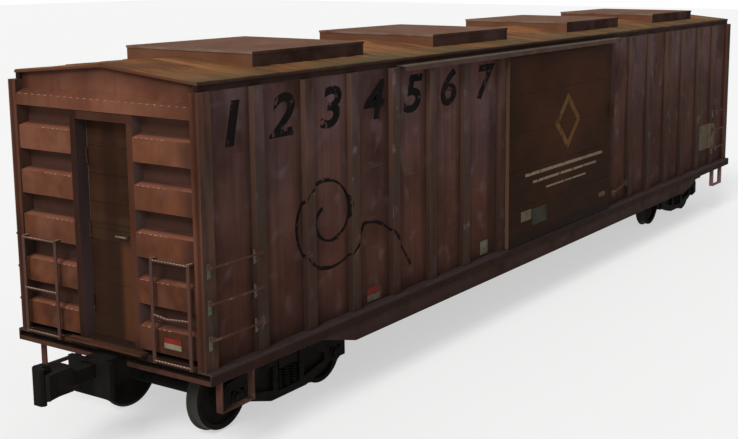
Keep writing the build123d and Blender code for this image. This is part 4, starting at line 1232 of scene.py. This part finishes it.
def spray_scrawl(material):
    """A loose black spray spiral with a trailing stroke, draped over panels and posts."""
    surface = ray_target(("wall_near_a", "wall_near_b"))
    middle_x, middle_z = -6.05, 2.35
    turns = 1.6
    spiral_points = 220
    stroke_points = 90
    columns = 4
    path = []
    for index in range(spiral_points):
        share = index / (spiral_points - 1)
        angle = 2 * math.pi * turns * share + 2.2
        radius = 0.16 + 0.56 * share
        path.append((middle_x + 1.05 * radius * math.cos(angle), middle_z + 0.95 * radius * math.sin(angle)))
    last = path[-1]
    for index in range(1, stroke_points):
        share = index / (stroke_points - 1)
        path.append((last[0] + 1.05 * share, last[1] - 0.75 * share + 0.22 * math.sin(math.pi * share)))
    build = bmesh.new()
    previous = None
    for index, (x, z) in enumerate(path):
        ahead = path[min(index + 1, len(path) - 1)]
        behind = path[max(index - 1, 0)]
        along = Vector((ahead[0] - behind[0], ahead[1] - behind[1])).normalized()
        width = 0.02 + 0.006 * math.sin(index * 0.21)
        row = []
        for step in range(columns + 1):
            offset = (step / columns - 0.5) * 2 * width
            px = x - along.y * offset
            pz = z + along.x * offset
            row.append(build.verts.new((px, outer_face(surface, -1, px, pz) - paint_lift, pz)))
        if previous is not None:
            for step in range(columns):
                build.faces.new((previous[step], previous[step + 1], row[step + 1], row[step]))
        previous = row
    keep_build("spray_scrawl", build, "car_body", material)


def paint_band(build, surface, low, high, left, right):
    """A painted band of the near door between two heights, its ends given as functions of height."""
    previous = None
    for z in steps(low, high, 0.006):
        row = []
        for x in (left(z), right(z)):
            row.append(build.verts.new((x, outer_face(surface, -1, x, z) - paint_lift, z)))
        if previous is not None:
            build.faces.new((previous[0], previous[1], row[1], row[0]))
        previous = row


def door_badge(ochre, cream):
    """A plain diamond over three bars, faded on the near door."""
    surface = ray_target(("side_door_near",))
    middle_x = 0.14
    middle_z = 2.82
    outer = 0.46
    inner = 0.32
    build = bmesh.new()
    for side in (-1, 1):
        def rim(z, side=side):
            return middle_x + side * max(0.0, outer - abs(z - middle_z))

        def core(z, side=side):
            return middle_x + side * max(0.0, inner - abs(z - middle_z))

        paint_band(build, surface, middle_z - outer, middle_z + outer, rim, core)
    keep_build("door_diamond", build, "side_door_near", ochre)
    build = bmesh.new()
    bars = ((2.11, 2.16, -1.3, 1.5), (1.98, 2.02, -1.05, 1.25), (1.84, 1.87, -0.6, 0.85))
    for low, high, start, end in bars:
        paint_band(build, surface, low, high, lambda z, x=start: x, lambda z, x=end: x)
    keep_build("door_bars", build, "side_door_near", cream)


def door_lever(material):
    """Locking lever on the wall beside the near door, with its two brackets."""
    build = bmesh.new()
    face = -post_face
    inner = -panel_face + 0.01
    start = Vector((2.10, 1.30))
    end = Vector((2.71, 1.42))
    length = (end - start).length
    add_block(build, (0, -0.02, -0.016), (length, 0.0, 0.016), 0.004)
    turn = Matrix.Rotation(-math.atan2(end.y - start.y, end.x - start.x), 4, "Y")
    place = Matrix.Translation((start.x, face - 0.02, start.y))
    bmesh.ops.transform(build, matrix=place @ turn, verts=build.verts)
    add_block(build, (2.06, face - 0.05, 1.25), (2.13, inner, 1.35), 0.006)
    add_block(build, (2.62, face - 0.05, 1.35), (2.67, inner, 1.45), 0.006)
    keep_build("door_lever", build, "car_body", material)


def pale_floor():
    """Floor finish: near white to the camera, with the shadow kept."""
    finish = Finish("pale_floor")
    finish.colour = finish.mix(finish.noise(0.3, 2.0), floor_white, floor_pale)
    finish.close(0.9, specular=0.0)
    share = finish.math("MULTIPLY", finish.backdrop_rays(), 0.55)
    glow = finish.node("ShaderNodeEmission", {"Color": (1.0, 1.0, 1.0, 1.0), "Strength": 1.0})
    blend = finish.node("ShaderNodeMixShader", {0: share, 1: finish.surface.outputs[0], 2: glow.outputs[0]})
    finish.fill(finish.tree.nodes["Material Output"], {"Surface": blend.outputs[0]})
    return finish.material


def studio():
    """Pale floor, white surroundings, soft light and the camera at the photographed angle."""
    scene = bpy.context.scene
    scene.view_settings.view_transform = "Standard"
    world = bpy.data.worlds.new("studio")
    scene.world = world
    world.use_nodes = True
    sky = Nodes(world.node_tree)
    level = sky.node("ShaderNodeMapRange", {"Value": sky.backdrop_rays(), "To Min": 0.42, "To Max": 1.0})
    shade = {"Color": (1.0, 1.0, 1.0, 1.0), "Strength": level.outputs[0]}
    sky.fill(sky.tree.nodes["Background"], shade)

    sun = bpy.data.lights.new("key", "SUN")
    sun.energy = 2.3
    sun.angle = math.radians(25)
    lamp = bpy.data.objects.new("key", sun)
    lamp.rotation_euler = Vector((0.72, 0.16, -0.68)).to_track_quat("-Z", "Y").to_euler()
    scene.collection.objects.link(lamp)

    floor_mesh = bpy.data.meshes.new("floor")
    reach = 120.0
    corners = [(-reach, -reach, 0), (reach, -reach, 0), (reach, reach, 0), (-reach, reach, 0)]
    floor_mesh.from_pydata(corners, [], [(0, 1, 2, 3)])
    floor_mesh.materials.append(pale_floor())
    floor = bpy.data.objects.new("floor", floor_mesh)
    scene.collection.objects.link(floor)

    photo_width = 738
    photo_height = 439
    focal_pixels = 1178.75
    centre_pixel = (439.525, 163.18)
    camera_data = bpy.data.cameras.new("camera")
    camera_data.sensor_fit = "HORIZONTAL"
    camera_data.sensor_width = 36.0
    camera_data.lens = 36.0 * focal_pixels / photo_width
    camera_data.shift_x = (photo_width / 2 - centre_pixel[0]) / photo_width
    camera_data.shift_y = (centre_pixel[1] - photo_height / 2) / photo_width
    camera_data.clip_end = 500.0
    camera = bpy.data.objects.new("camera", camera_data)
    camera.location = (-16.951, -9.816, 5.324)
    heading = math.radians(32.16)
    pitch = math.radians(-9.615)
    camera.rotation_euler = Euler((quarter + pitch, 0.0, heading - quarter), "XYZ")
    scene.collection.objects.link(camera)
    scene.camera = camera


finishes = paint_frame()
roof_boards(roof_board_wood())
end_welds(weld_steel())
foot_boards(foot_board_wood())
foot_paint = plate_paint("foot_plate", srgb(96, 97, 88), srgb(72, 66, 58))
grab_feet(foot_paint)
for truck in ("a", "b"):
    spring_coils(truck, finishes["iron"])
    truck_bolts(truck, finishes["iron"])
for number in ("a1", "a2", "b1", "b2"):
    axle_bolts(number, finishes["iron"])
plates()
black_paint = worn_paint("stencil_paint", stencil_black, side_coats)
bay_numerals(black_paint)
spray_scrawl(black_paint)
ochre_paint = worn_paint("ochre_paint", badge_ochre, door_coats)
cream_paint = worn_paint("cream_paint", badge_cream, door_coats)
door_badge(ochre_paint, cream_paint)
door_lever(finishes["grab"])
studio()
